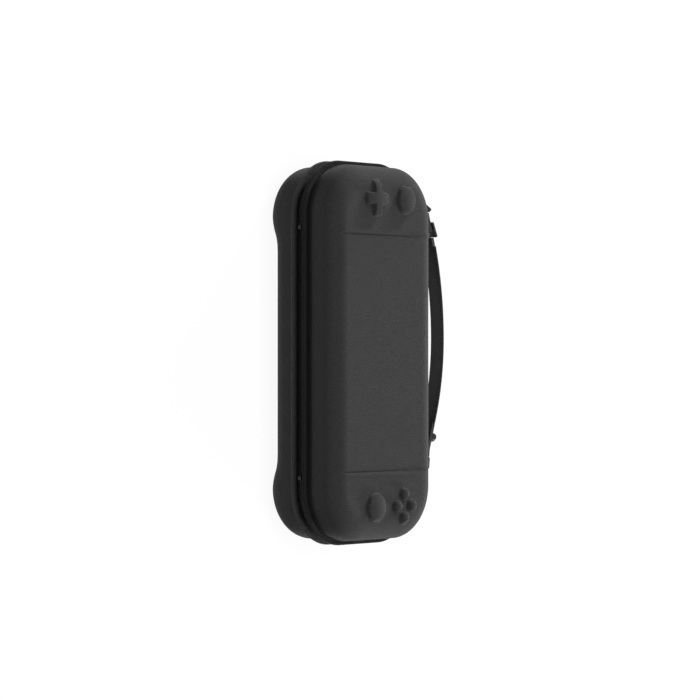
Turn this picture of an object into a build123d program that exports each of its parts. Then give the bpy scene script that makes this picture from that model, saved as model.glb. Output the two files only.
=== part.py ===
"""Hard-shell zip case for a handheld game console, lying on its back with the lid up.

X runs along the case, +Y is the front with the carry strap, -Y is the cloth spine and +Z is up.
Every piece is drawn about the zip plane (z = 0) and the middle of the shells, and is moved to the
final frame, with the rest faces at z = 0 and the box centred on X and Y, when it is written.
"""
from build123d import *
import os
from math import cos, radians, sin

os.makedirs("parts", exist_ok=True)

# Shells, in millimetres and degrees
CASE_LENGTH = 257.6
CASE_WIDTH = 116.6
CORNER_RADIUS = 37.0
DRAFT = 4.0
WALL = 3.2
RIM_WALL = 2.2
ZIP_GAP = 8.4
LIP_REACH = 2.5
LIP_HEIGHT = 3.0
LIP_ROUND = 1.3

# Base, deeper at its two ends than at its waist
BASE_DEPTH = 33.1
WAIST_RISE = 4.7
WAIST_HALF = 69.6
WAIST_RUN = 25.0
BASE_EDGE_RADIUS = 13.0

# Lid and its embossing
LID_HEIGHT = 26.4
LID_EDGE_RADIUS = 11.5
EMBOSS_HEIGHT = 3.2
EMBOSS_DRAFT = 14.0
EMBOSS_ROUND = 1.2
CONTROL_X = 105.2
CROSS_SPAN = 24.2
CROSS_ARM = 8.4
CROSS_CORNER = 1.6
CROSS_Y = -10.8
STICK_RADIUS = 9.7
STICK_DISH_RADIUS = 6.6
STICK_DISH_DEPTH = 0.6
STICK_TOP_Y = 21.6
STICK_BOTTOM_Y = -11.8
BUTTON_RADIUS = 4.3
BUTTON_PITCH = 8.1
BUTTONS_Y = 19.6
CREASE_X = 80.6
CREASE_WIDTH = 4.6
CREASE_DEPTH = 0.8

# Zip and spine
TAPE_THICKNESS = 0.9
TAPE_SEAT = 9.0
COIL_SLIT = 1.6
COIL_WIDTH = 1.9
COIL_THICKNESS = 1.6
SPINE_MARGIN = 5.8
STOP_LENGTH = 2.6
STOP_RISE = 0.4

# Sliders and pulls
SLIDE_CLEARANCE = 0.3
SLIDER_LENGTH = 11.0
SLIDER_HALF_HEIGHT = 3.6
SLIDER_PLATE = 1.3
SLIDER_INNER_PLATE = 1.0
SLIDER_CORNER = 1.4
SLIDER_SPACING = 1.0
POST_LENGTH = 5.0
BRIDGE_LENGTH = 6.4
BRIDGE_FOOT = 1.1
BRIDGE_HALF_WIDTH = 0.9
BRIDGE_RISE = 2.1
BRIDGE_ROOF = 0.9
PULL_PIN_RADIUS = 0.7
PULL_LENGTH = 26.0
PULL_HALF_WIDTH = 2.0
PULL_CHEEK = 0.85
PULL_THICKNESS = 1.5
PULL_WINDOW = 5.2
PULL_TIP_ROUND = 1.8
PULL_HOLE_RADIUS = 1.0

# Carry strap
STRAP_Z = 8.0
STRAP_WIDTH = 10.0
STRAP_THICKNESS = 1.5
STRAP_PEAK_X = -10.0
STRAP_REAR_SWEEP = 16.2
STRAP_FORE_SWEEP = 18.5
STRAP_FORE_BACK = 46.9
STRAP_RUN = 30.0
STRAP_FOLD = 26.0
STRAP_TONGUE = 6.0
RING_WIRE_RADIUS = 0.9
RING_LENGTH = 8.0
RING_ROOM = 1.0
RING_CORNER = 1.4
WEB_CLEARANCE = 0.2

# Anchor tabs on the lid's two front corners
TAB_THICKNESS = 1.8
TAB_EYE_WALL = 1.0
TAB_LOW = 0.4
TAB_SWEEP = 14.0
TAB_ROOT_DEPTH = 2.0
TAB_NECK_ANGLE = 1.0
LOWER_TAB_ANGLE = 0.5
LOWER_RING_TURN = -6.0
UPPER_TAB_ANGLE = 24.0
UPPER_RING_TURN = 63.0

# Snap hook, drawn from the middle of its nose along the strap's end
NOSE_PAST = 7.65
NOSE_RISE = 9.9
NOSE_INNER = 2.4
NOSE_OUTER = 4.2
NOSE_TIP_ANGLE = 75.0
HOOK_HALF_HEIGHT = 2.2
HOOK_BLOCK_START = 7.0
HOOK_LENGTH = 15.0
HOOK_BLOCK_REACH = 2.9
HOOK_ROUND = 0.5
FORK_HALF_GAP = 1.3
FORK_LENGTH = 5.2
PIVOT_U = 9.7
PIVOT_V = 1.5
PIVOT_PIN_RADIUS = 0.7
PIVOT_CLEARANCE = 0.08
KNUCKLE_RADIUS = 1.6
GATE_THICKNESS = 1.5
GATE_GAP = 0.35
LEVER_START = 8.7
LEVER_LENGTH = 11.2
LEVER_OFFSET = 4.4
LEVER_ANGLE = 8.6
LEVER_THICKNESS = 1.9
LEVER_HALF_WIDTH = 3.2
LEVER_ROUND = 0.45
SWIVEL_PIN_RADIUS = 1.2
SWIVEL_DEPTH = 2.2
SWIVEL_CLEARANCE = 0.08
SWIVEL_GAP = 0.3
SWIVEL_FLANGE_RADIUS = 2.2
SWIVEL_FLANGE = 1.4
SWIVEL_BARREL_RADIUS = 1.5
SWIVEL_BARREL = 2.4
FERRULE_LENGTH = 6.0
FERRULE_WALL = 0.8
FERRULE_SOCKET = 4.8
FERRULE_ROUND = 0.6

# Screwed stud through the strap's fold
STUD_BACK = 17.0
STUD_POST_RADIUS = 1.5
STUD_FLANGE_RADIUS = 2.9
STUD_FLANGE = 0.9
STUD_NECK_RADIUS = 1.7
STUD_NECK = 2.2
STUD_HEAD_RADIUS = 3.2
STUD_HEAD = 4.2
STUD_ROUND = 1.0
SCREW_HEAD_RADIUS = 2.8
SCREW_HEAD = 1.0
SCREW_SLOT = 0.7

# Inside
LINING_CLEARANCE = 0.3
CRADLE_DROP = 0.6
CRADLE_END_RIM = 7.3
CRADLE_SIDE_RIM = 6.7
CRADLE_CORNER_RIM = 8.0
CONSOLE_SINK = 10.7
CONSOLE_ROUND = 4.0
GRIP_WELL_LENGTH = 25.0
GRIP_WELL_SIDE = 13.6
GRIP_WELL_CORNER = 10.0
GRIP_WELL_END = 4.5
GRIP_WELL_DEPTH = 6.0
POCKET_RISE = 5.8
POCKET_THICKNESS = 0.8
POCKET_FRONT_MARGIN = 20.3
HEM_WIDTH = 3.0
HEM_HEIGHT = 2.0
SLEEVE_COUNT = 5
SLEEVE_PITCH = 33.0
SLEEVE_LENGTH = 27.0
SLEEVE_THICKNESS = 2.4
SLEEVE_CORNER = 2.0
SLEEVE_ROW_GAP = 7.0
SLEEVE_FRONT_MARGIN = 7.0
SLEEVE_BACK_MARGIN = 8.9

# Hinge axis of the cloth spine, just outside the two lips
HINGE_CLEARANCE = 0.4

# Places worked out from the sizes above
RIM = ZIP_GAP / 2
HALF_LENGTH = CASE_LENGTH / 2
HALF_WIDTH = CASE_WIDTH / 2
CORNER_X = HALF_LENGTH - CORNER_RADIUS
CORNER_Y = HALF_WIDTH - CORNER_RADIUS
SPINE_HALF = CORNER_X - SPINE_MARGIN
HINGE_Y = -(HALF_WIDTH + LIP_REACH + HINGE_CLEARANCE)
TALL = 4 * BASE_DEPTH
NEAR = 0.5


def plan(inset):
    """Rounded outline of the case, moved inwards by inset."""
    return RectangleRounded(CASE_LENGTH - 2 * inset, CASE_WIDTH - 2 * inset, CORNER_RADIUS - inset)


def slab(inset, low, high):
    """Upright block on the case's outline between two heights."""
    return extrude(Pos(0, 0, low) * plan(inset), high - low)


def ring(outer_inset, inner_inset, low, high):
    """Upright band that follows the case's outline."""
    return slab(outer_inset, low, high) - slab(inner_inset, low, high)


def side_profile(inset):
    """Side view of the base: deep ends joined to a raised waist by two S curves."""
    depth = BASE_DEPTH - inset
    waist = depth - WAIST_RISE
    middle = depth - WAIST_RISE / 2
    edges = [Line((-WAIST_HALF, -waist), (WAIST_HALF, -waist))]
    for side in (-1, 1):
        start = (side * WAIST_HALF, -waist)
        turn = (side * (WAIST_HALF + WAIST_RUN / 2), -middle)
        foot = (side * (WAIST_HALF + WAIST_RUN), -depth)
        upper = TangentArc(start, turn, tangent=(side, 0))
        edges.append(upper)
        edges.append(TangentArc(turn, foot, tangent=upper % 1))
        edges.append(Line(foot, (side * CASE_LENGTH, -depth)))
        edges.append(Line((side * CASE_LENGTH, -depth), (side * CASE_LENGTH, 0)))
    edges.append(Line((-CASE_LENGTH, 0), (CASE_LENGTH, 0)))
    return make_face(edges)


def base_form(inset):
    """Solid form of the base below its rim, moved inwards by inset."""
    rim_plane = Plane((0, 0, -RIM), z_dir=(0, 0, -1))
    body = extrude(rim_plane * plan(inset), BASE_DEPTH, taper=DRAFT)
    body = body & extrude(Plane.XZ * side_profile(inset), CASE_WIDTH, both=True)
    limit = -(BASE_DEPTH - WAIST_RISE - inset) + NEAR
    floor_edges = ShapeList()
    for edge in body.edges():
        place = edge.center()
        across = abs(place.Y) < NEAR and abs(place.X) < WAIST_HALF + WAIST_RUN + NEAR
        if place.Z < limit and not across:
            floor_edges.append(edge)
    return fillet(floor_edges, BASE_EDGE_RADIUS - inset)


def lid_form(inset):
    """Solid form of the lid above its rim, moved inwards by inset."""
    body = extrude(Pos(0, 0, RIM) * plan(inset), LID_HEIGHT - RIM - inset, taper=DRAFT)
    top_edges = body.faces().sort_by(Axis.Z)[-1].edges()
    return fillet(top_edges, LID_EDGE_RADIUS - inset)


def lip(low):
    """Rounded bead that stands out of a rim."""
    bead = slab(-LIP_REACH, low, low + LIP_HEIGHT)
    edges = bead.faces().filter_by(Axis.Z).edges()
    return fillet(edges, LIP_ROUND)


def base_shell():
    """Base: one moulding, hollow, with a rebate for the zip tape."""
    body = base_form(0) + lip(-RIM - LIP_HEIGHT)
    body = body - base_form(WALL)
    return body - slab(RIM_WALL, -RIM - TAPE_SEAT, -RIM)


def raised(outline):
    """Embossed form with leaning walls and a rounded top edge."""
    sunk = EMBOSS_ROUND
    body = extrude(outline, sunk + EMBOSS_HEIGHT, taper=EMBOSS_DRAFT)
    body = Pos(0, 0, LID_HEIGHT - sunk) * body
    return fillet(body.faces().sort_by(Axis.Z)[-1].edges(), EMBOSS_ROUND)


def cross_pad():
    """Embossed cross."""
    arm = raised(RectangleRounded(CROSS_SPAN, CROSS_ARM, CROSS_CORNER))
    return Pos(-CONTROL_X, CROSS_Y, 0) * (arm + Rot(0, 0, 90) * arm)


def stick_disc(x, y):
    """Embossed thumb-stick disc with a dished top."""
    top = LID_HEIGHT + EMBOSS_HEIGHT
    ball_radius = (STICK_DISH_RADIUS ** 2 + STICK_DISH_DEPTH ** 2) / (2 * STICK_DISH_DEPTH)
    ball = Pos(0, 0, top - STICK_DISH_DEPTH + ball_radius) * Sphere(ball_radius)
    return Pos(x, y, 0) * (raised(Circle(STICK_RADIUS)) - ball)


def buttons():
    """Four embossed round buttons on a diamond."""
    group = []
    for along, across in ((1, 0), (-1, 0), (0, 1), (0, -1)):
        place = Pos(CONTROL_X + along * BUTTON_PITCH, BUTTONS_Y + across * BUTTON_PITCH, 0)
        group.append(place * raised(Circle(BUTTON_RADIUS)))
    return group


def creases():
    """Cutters for the two shallow creases across the lid."""
    radius = (CREASE_WIDTH ** 2 / 4 + CREASE_DEPTH ** 2) / (2 * CREASE_DEPTH)
    height = LID_HEIGHT - CREASE_DEPTH + radius
    rod = Rot(90, 0, 0) * Cylinder(radius, 2 * CASE_WIDTH)
    return [Pos(side * CREASE_X, 0, height) * rod for side in (-1, 1)]


def lid_shell():
    """Lid: one moulding, hollow, with its creases and embossing."""
    body = lid_form(0) + lip(RIM)
    for rod in creases():
        body = body - rod
    body = body + cross_pad() + stick_disc(-CONTROL_X, STICK_TOP_Y)
    body = body + stick_disc(CONTROL_X, STICK_BOTTOM_Y)
    for button in buttons():
        body = body + button
    body = body - lid_form(WALL)
    return body - slab(RIM_WALL, RIM, RIM + TAPE_SEAT)


def spine_window(half_length):
    """Block over the spine's straight side."""
    return Pos(0, -HALF_WIDTH, 0) * Box(2 * half_length, CASE_WIDTH, TALL)


def zip_tape():
    """Tape of the base, sewn into its rebate on three sides."""
    band = ring(RIM_WALL, RIM_WALL + TAPE_THICKNESS, -RIM - TAPE_SEAT, -COIL_SLIT / 2)
    return band - spine_window(SPINE_HALF)


def zip_coil():
    """Coil bead on the free edge of the base's tape."""
    low = -COIL_SLIT / 2 - COIL_WIDTH
    bead = ring(RIM_WALL - COIL_THICKNESS, RIM_WALL, low, -COIL_SLIT / 2)
    return bead - spine_window(SPINE_HALF)


def spine_strip():
    """Cloth hinge along the spine, seated in both rebates."""
    reach = RIM + TAPE_SEAT
    band = ring(RIM_WALL, RIM_WALL + TAPE_THICKNESS, -reach, reach)
    return band & spine_window(SPINE_HALF)


def zip_stops():
    """End stops against the two ends of the base's coil."""
    outer = RIM_WALL - COIL_THICKNESS - STOP_RISE
    low = -COIL_SLIT / 2 - COIL_WIDTH - STOP_RISE
    band = ring(outer, RIM_WALL, low, -COIL_SLIT / 2)
    band = band & spine_window(SPINE_HALF)
    band = band - spine_window(SPINE_HALF - STOP_LENGTH)
    return band


SLIDER_X = (SLIDER_LENGTH + SLIDER_SPACING) / 2
COIL_FACE_Y = HALF_WIDTH - RIM_WALL + COIL_THICKNESS
PLATE_Y = COIL_FACE_Y + SLIDE_CLEARANCE
PLATE_FACE_Y = PLATE_Y + SLIDER_PLATE
PULL_AXIS_Y = PLATE_FACE_Y + BRIDGE_RISE / 2
TAPE_BACK_Y = HALF_WIDTH - RIM_WALL - TAPE_THICKNESS - SLIDE_CLEARANCE


def upright_plate(length, half_height, corner):
    """Rounded plate face in the XZ plane."""
    return Plane.XZ * RectangleRounded(length, 2 * half_height, corner)


def zip_slider():
    """Right slider: outer plate with a bridge, inner plate and the post between the coils."""
    face = upright_plate(SLIDER_LENGTH, SLIDER_HALF_HEIGHT, SLIDER_CORNER)
    outer = Pos(0, PLATE_FACE_Y, 0) * extrude(face, SLIDER_PLATE)
    inner = Pos(0, TAPE_BACK_Y, 0) * extrude(face, SLIDER_INNER_PLATE)
    span = PLATE_Y - TAPE_BACK_Y
    post_height = COIL_SLIT - 2 * SLIDE_CLEARANCE
    post = Pos(0, TAPE_BACK_Y + span / 2, 0) * Box(POST_LENGTH, span, post_height)
    rise = BRIDGE_RISE + BRIDGE_ROOF
    arch = Rectangle(BRIDGE_LENGTH, rise)
    arch = fillet(arch.vertices().group_by(Axis.Y)[-1], BRIDGE_ROOF)
    hole = Pos(0, -BRIDGE_ROOF / 2) * Rectangle(BRIDGE_LENGTH - 2 * BRIDGE_FOOT, BRIDGE_RISE)
    bridge = extrude(arch - hole, BRIDGE_HALF_WIDTH, both=True)
    bridge = Pos(0, PLATE_FACE_Y + rise / 2, 0) * bridge
    return Pos(SLIDER_X, 0, 0) * (outer + inner + post + bridge)


def zip_pull():
    """Right pull: a flat tab that hangs on the slider's bridge by its own cross pin."""
    cheek_length = BRIDGE_LENGTH / 2 + PULL_WINDOW / 2
    middle = PULL_LENGTH / 2
    tab = Pos(middle, 0, 0) * Rectangle(PULL_LENGTH, PULL_THICKNESS)
    tab = tab + Circle(PULL_THICKNESS / 2)
    tab = extrude(tab, PULL_HALF_WIDTH, both=True)
    window = Box(2 * cheek_length, 4 * PULL_THICKNESS, 2 * (PULL_HALF_WIDTH - PULL_CHEEK))
    pin = Cylinder(PULL_PIN_RADIUS, 2 * PULL_HALF_WIDTH)
    hole_x = PULL_LENGTH - 2 * PULL_HALF_WIDTH
    grip = Pos(hole_x, 0, 0) * (Rot(90, 0, 0) * Cylinder(PULL_HOLE_RADIUS, 4 * PULL_THICKNESS))
    tip_edges = tab.edges().filter_by(Axis.Y).group_by(Axis.X)[-1]
    tab = fillet(tip_edges, PULL_TIP_ROUND)
    return Pos(SLIDER_X, PULL_AXIS_Y, 0) * (tab - window - grip + pin)


def heading(angle):
    """Unit vector in the XY plane at an angle in degrees from +X."""
    return Vector(cos(radians(angle)), sin(radians(angle)), 0)


# Snap hook line, from the hook's nose past the lid's corner up to the strap's rear end
REAR_ALONG = heading(STRAP_REAR_SWEEP)
REAR_OUT = heading(90 + STRAP_REAR_SWEEP)
CLASP_LENGTH = HOOK_LENGTH + SWIVEL_GAP + SWIVEL_FLANGE + SWIVEL_BARREL + FERRULE_LENGTH
NOSE_CENTRE = Vector(-CORNER_X - NOSE_PAST, HALF_WIDTH + NOSE_RISE, STRAP_Z)
NOSE_PLANE = Plane(NOSE_CENTRE, x_dir=REAR_ALONG, z_dir=(0, 0, 1))
UPPER_BAR = NOSE_CENTRE - REAR_ALONG * (NOSE_INNER - RING_WIRE_RADIUS - SLIDE_CLEARANCE)
UPPER_EYE = UPPER_BAR - heading(UPPER_RING_TURN) * RING_LENGTH
PIVOT = NOSE_PLANE.from_local_coords((PIVOT_U, PIVOT_V, 0))

# Strap line: two arcs that meet level at the peak, and a straight end at the lower ring
REAR_END = NOSE_CENTRE + REAR_ALONG * CLASP_LENGTH
STRAP_REAR_RADIUS = (STRAP_PEAK_X - REAR_END.X) / sin(radians(STRAP_REAR_SWEEP))
REAR_CENTRE = REAR_END - REAR_OUT * STRAP_REAR_RADIUS
STRAP_PEAK = REAR_CENTRE + Vector(0, STRAP_REAR_RADIUS, 0)
FORE_ALONG = heading(-STRAP_FORE_SWEEP)
FORE_OUT = heading(90 - STRAP_FORE_SWEEP)
FORE_SPAN = CORNER_X - STRAP_FORE_BACK - STRAP_PEAK_X
STRAP_FORE_RADIUS = FORE_SPAN / sin(radians(STRAP_FORE_SWEEP))
FORE_CENTRE = STRAP_PEAK - Vector(0, STRAP_FORE_RADIUS, 0)
FORE_END = FORE_CENTRE + FORE_OUT * STRAP_FORE_RADIUS
STRAP_TIP = FORE_END + FORE_ALONG * STRAP_RUN
LOWER_BAR = STRAP_TIP - FORE_OUT * (STRAP_THICKNESS / 2)
LOWER_EYE = LOWER_BAR + heading(LOWER_RING_TURN) * RING_LENGTH
STUD_SEAT = LOWER_BAR - FORE_ALONG * STUD_BACK


def carry_strap():
    """Webbing on edge: a tongue in the ferrule, and a fold round the lower ring back to the stud."""
    path = Wire([
        ThreePointArc(REAR_END, REAR_CENTRE + heading(90 + STRAP_REAR_SWEEP / 2) * STRAP_REAR_RADIUS,
                      STRAP_PEAK),
        ThreePointArc(STRAP_PEAK, FORE_CENTRE + heading(90 - STRAP_FORE_SWEEP / 2) * STRAP_FORE_RADIUS,
                      FORE_END),
        Line(FORE_END, STRAP_TIP),
    ])
    section = along_clasp(CLASP_LENGTH) * Rectangle(STRAP_WIDTH, STRAP_THICKNESS)
    tongue = along_clasp(CLASP_LENGTH - FERRULE_SOCKET) * Rectangle(STRAP_TONGUE, STRAP_THICKNESS)
    strap = sweep(section, path=path) + extrude(tongue, FERRULE_SOCKET)
    fold = Box(STRAP_FOLD, STRAP_THICKNESS, STRAP_WIDTH)
    fold_centre = LOWER_BAR - FORE_ALONG * (STRAP_FOLD / 2) - FORE_OUT * (STRAP_THICKNESS / 2)
    fold = Plane(fold_centre, x_dir=FORE_ALONG, z_dir=(0, 0, 1)) * fold
    bore = RING_WIRE_RADIUS + WEB_CLEARANCE
    eye = Plane(LOWER_BAR) * Cylinder(bore + STRAP_THICKNESS, STRAP_WIDTH)
    hole = Plane(LOWER_BAR) * Cylinder(bore, 2 * STRAP_WIDTH)
    post = stud_plane() * Cylinder(STUD_POST_RADIUS, 8 * STRAP_THICKNESS)
    return strap + fold + eye - hole - post


def strap_ring(bar, eye):
    """Wire ring whose two upright bars run through the strap's or hook's eye and the tab's eye."""
    height = STRAP_WIDTH + RING_ROOM + 2 * RING_WIRE_RADIUS
    along = (eye - bar).normalized()
    plane = Plane((bar + eye) * 0.5, x_dir=along, z_dir=along.cross(Vector(0, 0, 1)))
    path = (plane * RectangleRounded(RING_LENGTH, height, RING_CORNER)).wire()
    section = Plane(path @ 0, z_dir=path % 0) * Circle(RING_WIRE_RADIUS)
    return sweep(section, path=path)


def anchor_tab(side, eye, angle):
    """Webbing tab sewn flat on a front corner of the lid and looped round its ring."""
    corner = Vector(side * CORNER_X, CORNER_Y, 0)
    inner = CORNER_RADIUS - TAB_ROOT_DEPTH
    outer = CORNER_RADIUS + TAB_THICKNESS
    first = 90 - side * angle
    sweep_angle = -side * TAB_SWEEP
    low_arc = CenterArc(corner, inner, first, sweep_angle)
    high_arc = CenterArc(corner, outer, first, sweep_angle)
    ends = [Line(low_arc @ t, high_arc @ t) for t in (0, 1)]
    root = make_face([low_arc, high_arc] + ends)
    seat = corner + heading(first - side * TAB_NECK_ANGLE) * (CORNER_RADIUS + TAB_THICKNESS / 2)
    flat_eye = Vector(eye.X, eye.Y, 0)
    reach = seat - flat_eye
    neck = Plane(flat_eye + reach * 0.5, x_dir=reach.normalized(), z_dir=(0, 0, 1))
    bore = RING_WIRE_RADIUS + WEB_CLEARANCE
    outline = root + neck * Rectangle(reach.length, TAB_THICKNESS)
    outline = outline + Pos(flat_eye) * Circle(bore + TAB_EYE_WALL) - Pos(flat_eye) * Circle(bore)
    low = RIM + LIP_HEIGHT + TAB_LOW
    tab = extrude(Pos(0, 0, low) * outline, STRAP_Z + STRAP_WIDTH / 2 - low)
    return tab - lid_form(0)


def clasp_hook():
    """Cast hook: curved nose, straight spine and a forked block bored for the swivel."""
    nose = make_face([
        CenterArc((0, 0), NOSE_INNER, NOSE_TIP_ANGLE, 270 - NOSE_TIP_ANGLE),
        CenterArc((0, 0), NOSE_OUTER, NOSE_TIP_ANGLE, 270 - NOSE_TIP_ANGLE),
        Line(heading(NOSE_TIP_ANGLE) * NOSE_INNER, heading(NOSE_TIP_ANGLE) * NOSE_OUTER),
        Line((0, -NOSE_INNER), (0, -NOSE_OUTER)),
    ])
    spine_width = NOSE_OUTER - NOSE_INNER
    spine = Pos(HOOK_LENGTH / 2, -NOSE_INNER - spine_width / 2) * Rectangle(HOOK_LENGTH, spine_width)
    block_length = HOOK_LENGTH - HOOK_BLOCK_START
    block_width = NOSE_OUTER + HOOK_BLOCK_REACH
    block = Rectangle(block_length, block_width)
    block = fillet(block.vertices(), HOOK_ROUND)
    block = Pos(HOOK_BLOCK_START + block_length / 2, (HOOK_BLOCK_REACH - NOSE_OUTER) / 2) * block
    hook = extrude(nose + spine + block, HOOK_HALF_HEIGHT, both=True)
    slot_floor = PIVOT_V - KNUCKLE_RADIUS - SLIDE_CLEARANCE
    slot_depth = 2 * (HOOK_BLOCK_REACH - slot_floor)
    slot = Box(2 * FORK_LENGTH, slot_depth, 2 * FORK_HALF_GAP)
    hook = hook - Pos(HOOK_BLOCK_START, slot_floor + slot_depth / 2, 0) * slot
    hook = hook - Pos(PIVOT_U, PIVOT_V, 0) * Cylinder(PIVOT_PIN_RADIUS, 4 * HOOK_HALF_HEIGHT)
    bore = Cylinder(SWIVEL_PIN_RADIUS + SWIVEL_CLEARANCE, 2 * SWIVEL_DEPTH)
    hook = hook - Pos(HOOK_LENGTH, 0, 0) * (Rot(0, 90, 0) * bore)
    return NOSE_PLANE * hook


def clasp_trigger():
    """Sprung lever: knuckle on the pin, gate across the mouth and a thumb bar behind."""
    half = FORK_HALF_GAP - WEB_CLEARANCE
    gate_start = NOSE_OUTER * cos(radians(NOSE_TIP_ANGLE)) + GATE_GAP
    gate_height = (NOSE_INNER + NOSE_OUTER) / 2
    gate = Rectangle(PIVOT_U - gate_start, GATE_THICKNESS)
    gate = Pos((gate_start + PIVOT_U) / 2, gate_height) * gate
    knuckle = Pos(PIVOT_U, PIVOT_V) * Circle(KNUCKLE_RADIUS)
    web_width = 2 * KNUCKLE_RADIUS
    web_height = LEVER_OFFSET - PIVOT_V
    web = Pos(PIVOT_U, PIVOT_V + web_height / 2) * Rectangle(web_width, web_height)
    middle = extrude(gate + knuckle + web, half, both=True)
    bar = Box(LEVER_LENGTH, LEVER_THICKNESS, 2 * LEVER_HALF_WIDTH)
    bar = fillet(bar.edges(), LEVER_ROUND)
    bar = Rot(0, 0, LEVER_ANGLE) * (Pos(LEVER_LENGTH / 2, 0, 0) * bar)
    bar = Pos(LEVER_START, LEVER_OFFSET, 0) * bar
    bore = Cylinder(PIVOT_PIN_RADIUS + PIVOT_CLEARANCE, 4 * HOOK_HALF_HEIGHT)
    return NOSE_PLANE * (middle + bar - Pos(PIVOT_U, PIVOT_V, 0) * bore)


def trigger_pin():
    """Pivot pin through the hook's fork."""
    return Plane(PIVOT) * Cylinder(PIVOT_PIN_RADIUS, 2 * HOOK_HALF_HEIGHT)


def along_clasp(distance):
    """Plane square to the hook's line at a distance from its nose."""
    return Plane(NOSE_CENTRE + REAR_ALONG * distance, x_dir=(0, 0, 1), z_dir=REAR_ALONG)


def clasp_swivel():
    """Turned swivel: a pin in the hook's bore, a flange and a barrel up to the ferrule."""
    pin_length = SWIVEL_DEPTH
    pin = along_clasp(HOOK_LENGTH - SWIVEL_DEPTH + SWIVEL_GAP) * Circle(SWIVEL_PIN_RADIUS)
    flange_start = HOOK_LENGTH + SWIVEL_GAP
    flange = along_clasp(flange_start) * Circle(SWIVEL_FLANGE_RADIUS)
    barrel = along_clasp(flange_start + SWIVEL_FLANGE) * Circle(SWIVEL_BARREL_RADIUS)
    swivel = extrude(pin, pin_length) + extrude(flange, SWIVEL_FLANGE)
    return swivel + extrude(barrel, SWIVEL_BARREL)


def strap_ferrule():
    """Moulded sleeve on the strap's tongue."""
    start = CLASP_LENGTH - FERRULE_LENGTH
    outline = Rectangle(STRAP_TONGUE + 2 * FERRULE_WALL, STRAP_THICKNESS + 2 * FERRULE_WALL)
    sleeve = extrude(along_clasp(start) * fillet(outline.vertices(), FERRULE_ROUND), FERRULE_LENGTH)
    socket = along_clasp(CLASP_LENGTH - FERRULE_SOCKET) * Rectangle(STRAP_TONGUE, STRAP_THICKNESS)
    return sleeve - extrude(socket, FERRULE_SOCKET)


def stud_plane():
    """Plane in the strap's fold at the stud, facing outwards."""
    return Plane(STUD_SEAT, x_dir=(0, 0, 1), z_dir=FORE_OUT)


def strap_stud():
    """Turned knob screwed on the strap's outer face."""
    base = stud_plane().offset(STRAP_THICKNESS)
    flange = extrude(base * Circle(STUD_FLANGE_RADIUS), STUD_FLANGE)
    neck = extrude(base.offset(STUD_FLANGE) * Circle(STUD_NECK_RADIUS), STUD_NECK)
    head = extrude(base.offset(STUD_FLANGE + STUD_NECK) * Circle(STUD_HEAD_RADIUS), STUD_HEAD)
    head = fillet(head.edges().filter_by(GeomType.CIRCLE), STUD_ROUND)
    bore = extrude(base * Circle(STUD_POST_RADIUS), STUD_FLANGE + STUD_NECK)
    return flange + neck + head - bore


def stud_screw():
    """Slotted screw through the fold into the knob."""
    back = stud_plane().offset(-STRAP_THICKNESS)
    post_length = 2 * STRAP_THICKNESS + STUD_FLANGE + STUD_NECK
    post = extrude(back * Circle(STUD_POST_RADIUS), post_length)
    head = extrude(back.offset(-SCREW_HEAD) * Circle(SCREW_HEAD_RADIUS), SCREW_HEAD)
    slot = back.offset(-SCREW_HEAD) * Box(4 * SCREW_HEAD_RADIUS, SCREW_SLOT, SCREW_HEAD)
    return post + head - slot


CONSOLE_LENGTH = CASE_LENGTH - 2 * CRADLE_END_RIM
CONSOLE_WIDTH = CASE_WIDTH - 2 * CRADLE_SIDE_RIM
CONSOLE_CORNER = CORNER_RADIUS - CRADLE_CORNER_RIM


def console_cradle():
    """Moulded foam tray with the console's recess and a grip well at each end."""
    top = -RIM - CRADLE_DROP
    tray = base_form(WALL + LINING_CLEARANCE) - slab(0, top, RIM)
    floor = top - CONSOLE_SINK
    recess = Pos(0, 0, floor) * RectangleRounded(CONSOLE_LENGTH, CONSOLE_WIDTH, CONSOLE_CORNER)
    recess = extrude(recess, 2 * CONSOLE_SINK)
    recess = fillet(recess.faces().sort_by(Axis.Z)[0].edges(), CONSOLE_ROUND)
    tray = tray - recess
    well_x = (CONSOLE_LENGTH - GRIP_WELL_LENGTH) / 2 - GRIP_WELL_END
    for side in (-1, 1):
        well_width = CONSOLE_WIDTH - 2 * GRIP_WELL_SIDE
        well = RectangleRounded(GRIP_WELL_LENGTH, well_width, GRIP_WELL_CORNER)
        well = Pos(side * well_x, 0, floor - GRIP_WELL_DEPTH) * well
        tray = tray - extrude(well, 2 * GRIP_WELL_DEPTH)
    return tray


POCKET_Z = RIM + POCKET_RISE
POCKET_FRONT_Y = HALF_WIDTH - POCKET_FRONT_MARGIN
LINING_INSET = RIM_WALL + TAPE_THICKNESS + LINING_CLEARANCE
POCKET_REACH = POCKET_FRONT_Y + HALF_WIDTH - LINING_INSET
SLEEVE_MARGINS = SLEEVE_FRONT_MARGIN + SLEEVE_ROW_GAP + SLEEVE_BACK_MARGIN
SLEEVE_WIDTH = (POCKET_REACH - SLEEVE_MARGINS) / 2


def pocket_panel():
    """Cloth panel across the lid's hollow, open along its front edge."""
    panel = slab(LINING_INSET, POCKET_Z, POCKET_Z + POCKET_THICKNESS)
    front = Pos(0, POCKET_FRONT_Y + CASE_WIDTH / 2, 0) * Box(2 * CASE_LENGTH, CASE_WIDTH, TALL)
    return panel - front


def pocket_hem():
    """Elastic binding on the pocket's front edge."""
    middle = POCKET_Z + POCKET_THICKNESS / 2
    block = slab(LINING_INSET, middle - HEM_HEIGHT / 2, middle + HEM_HEIGHT / 2)
    return block & Pos(0, POCKET_FRONT_Y + HEM_WIDTH / 2, 0) * Box(CASE_LENGTH, HEM_WIDTH, TALL)


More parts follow.
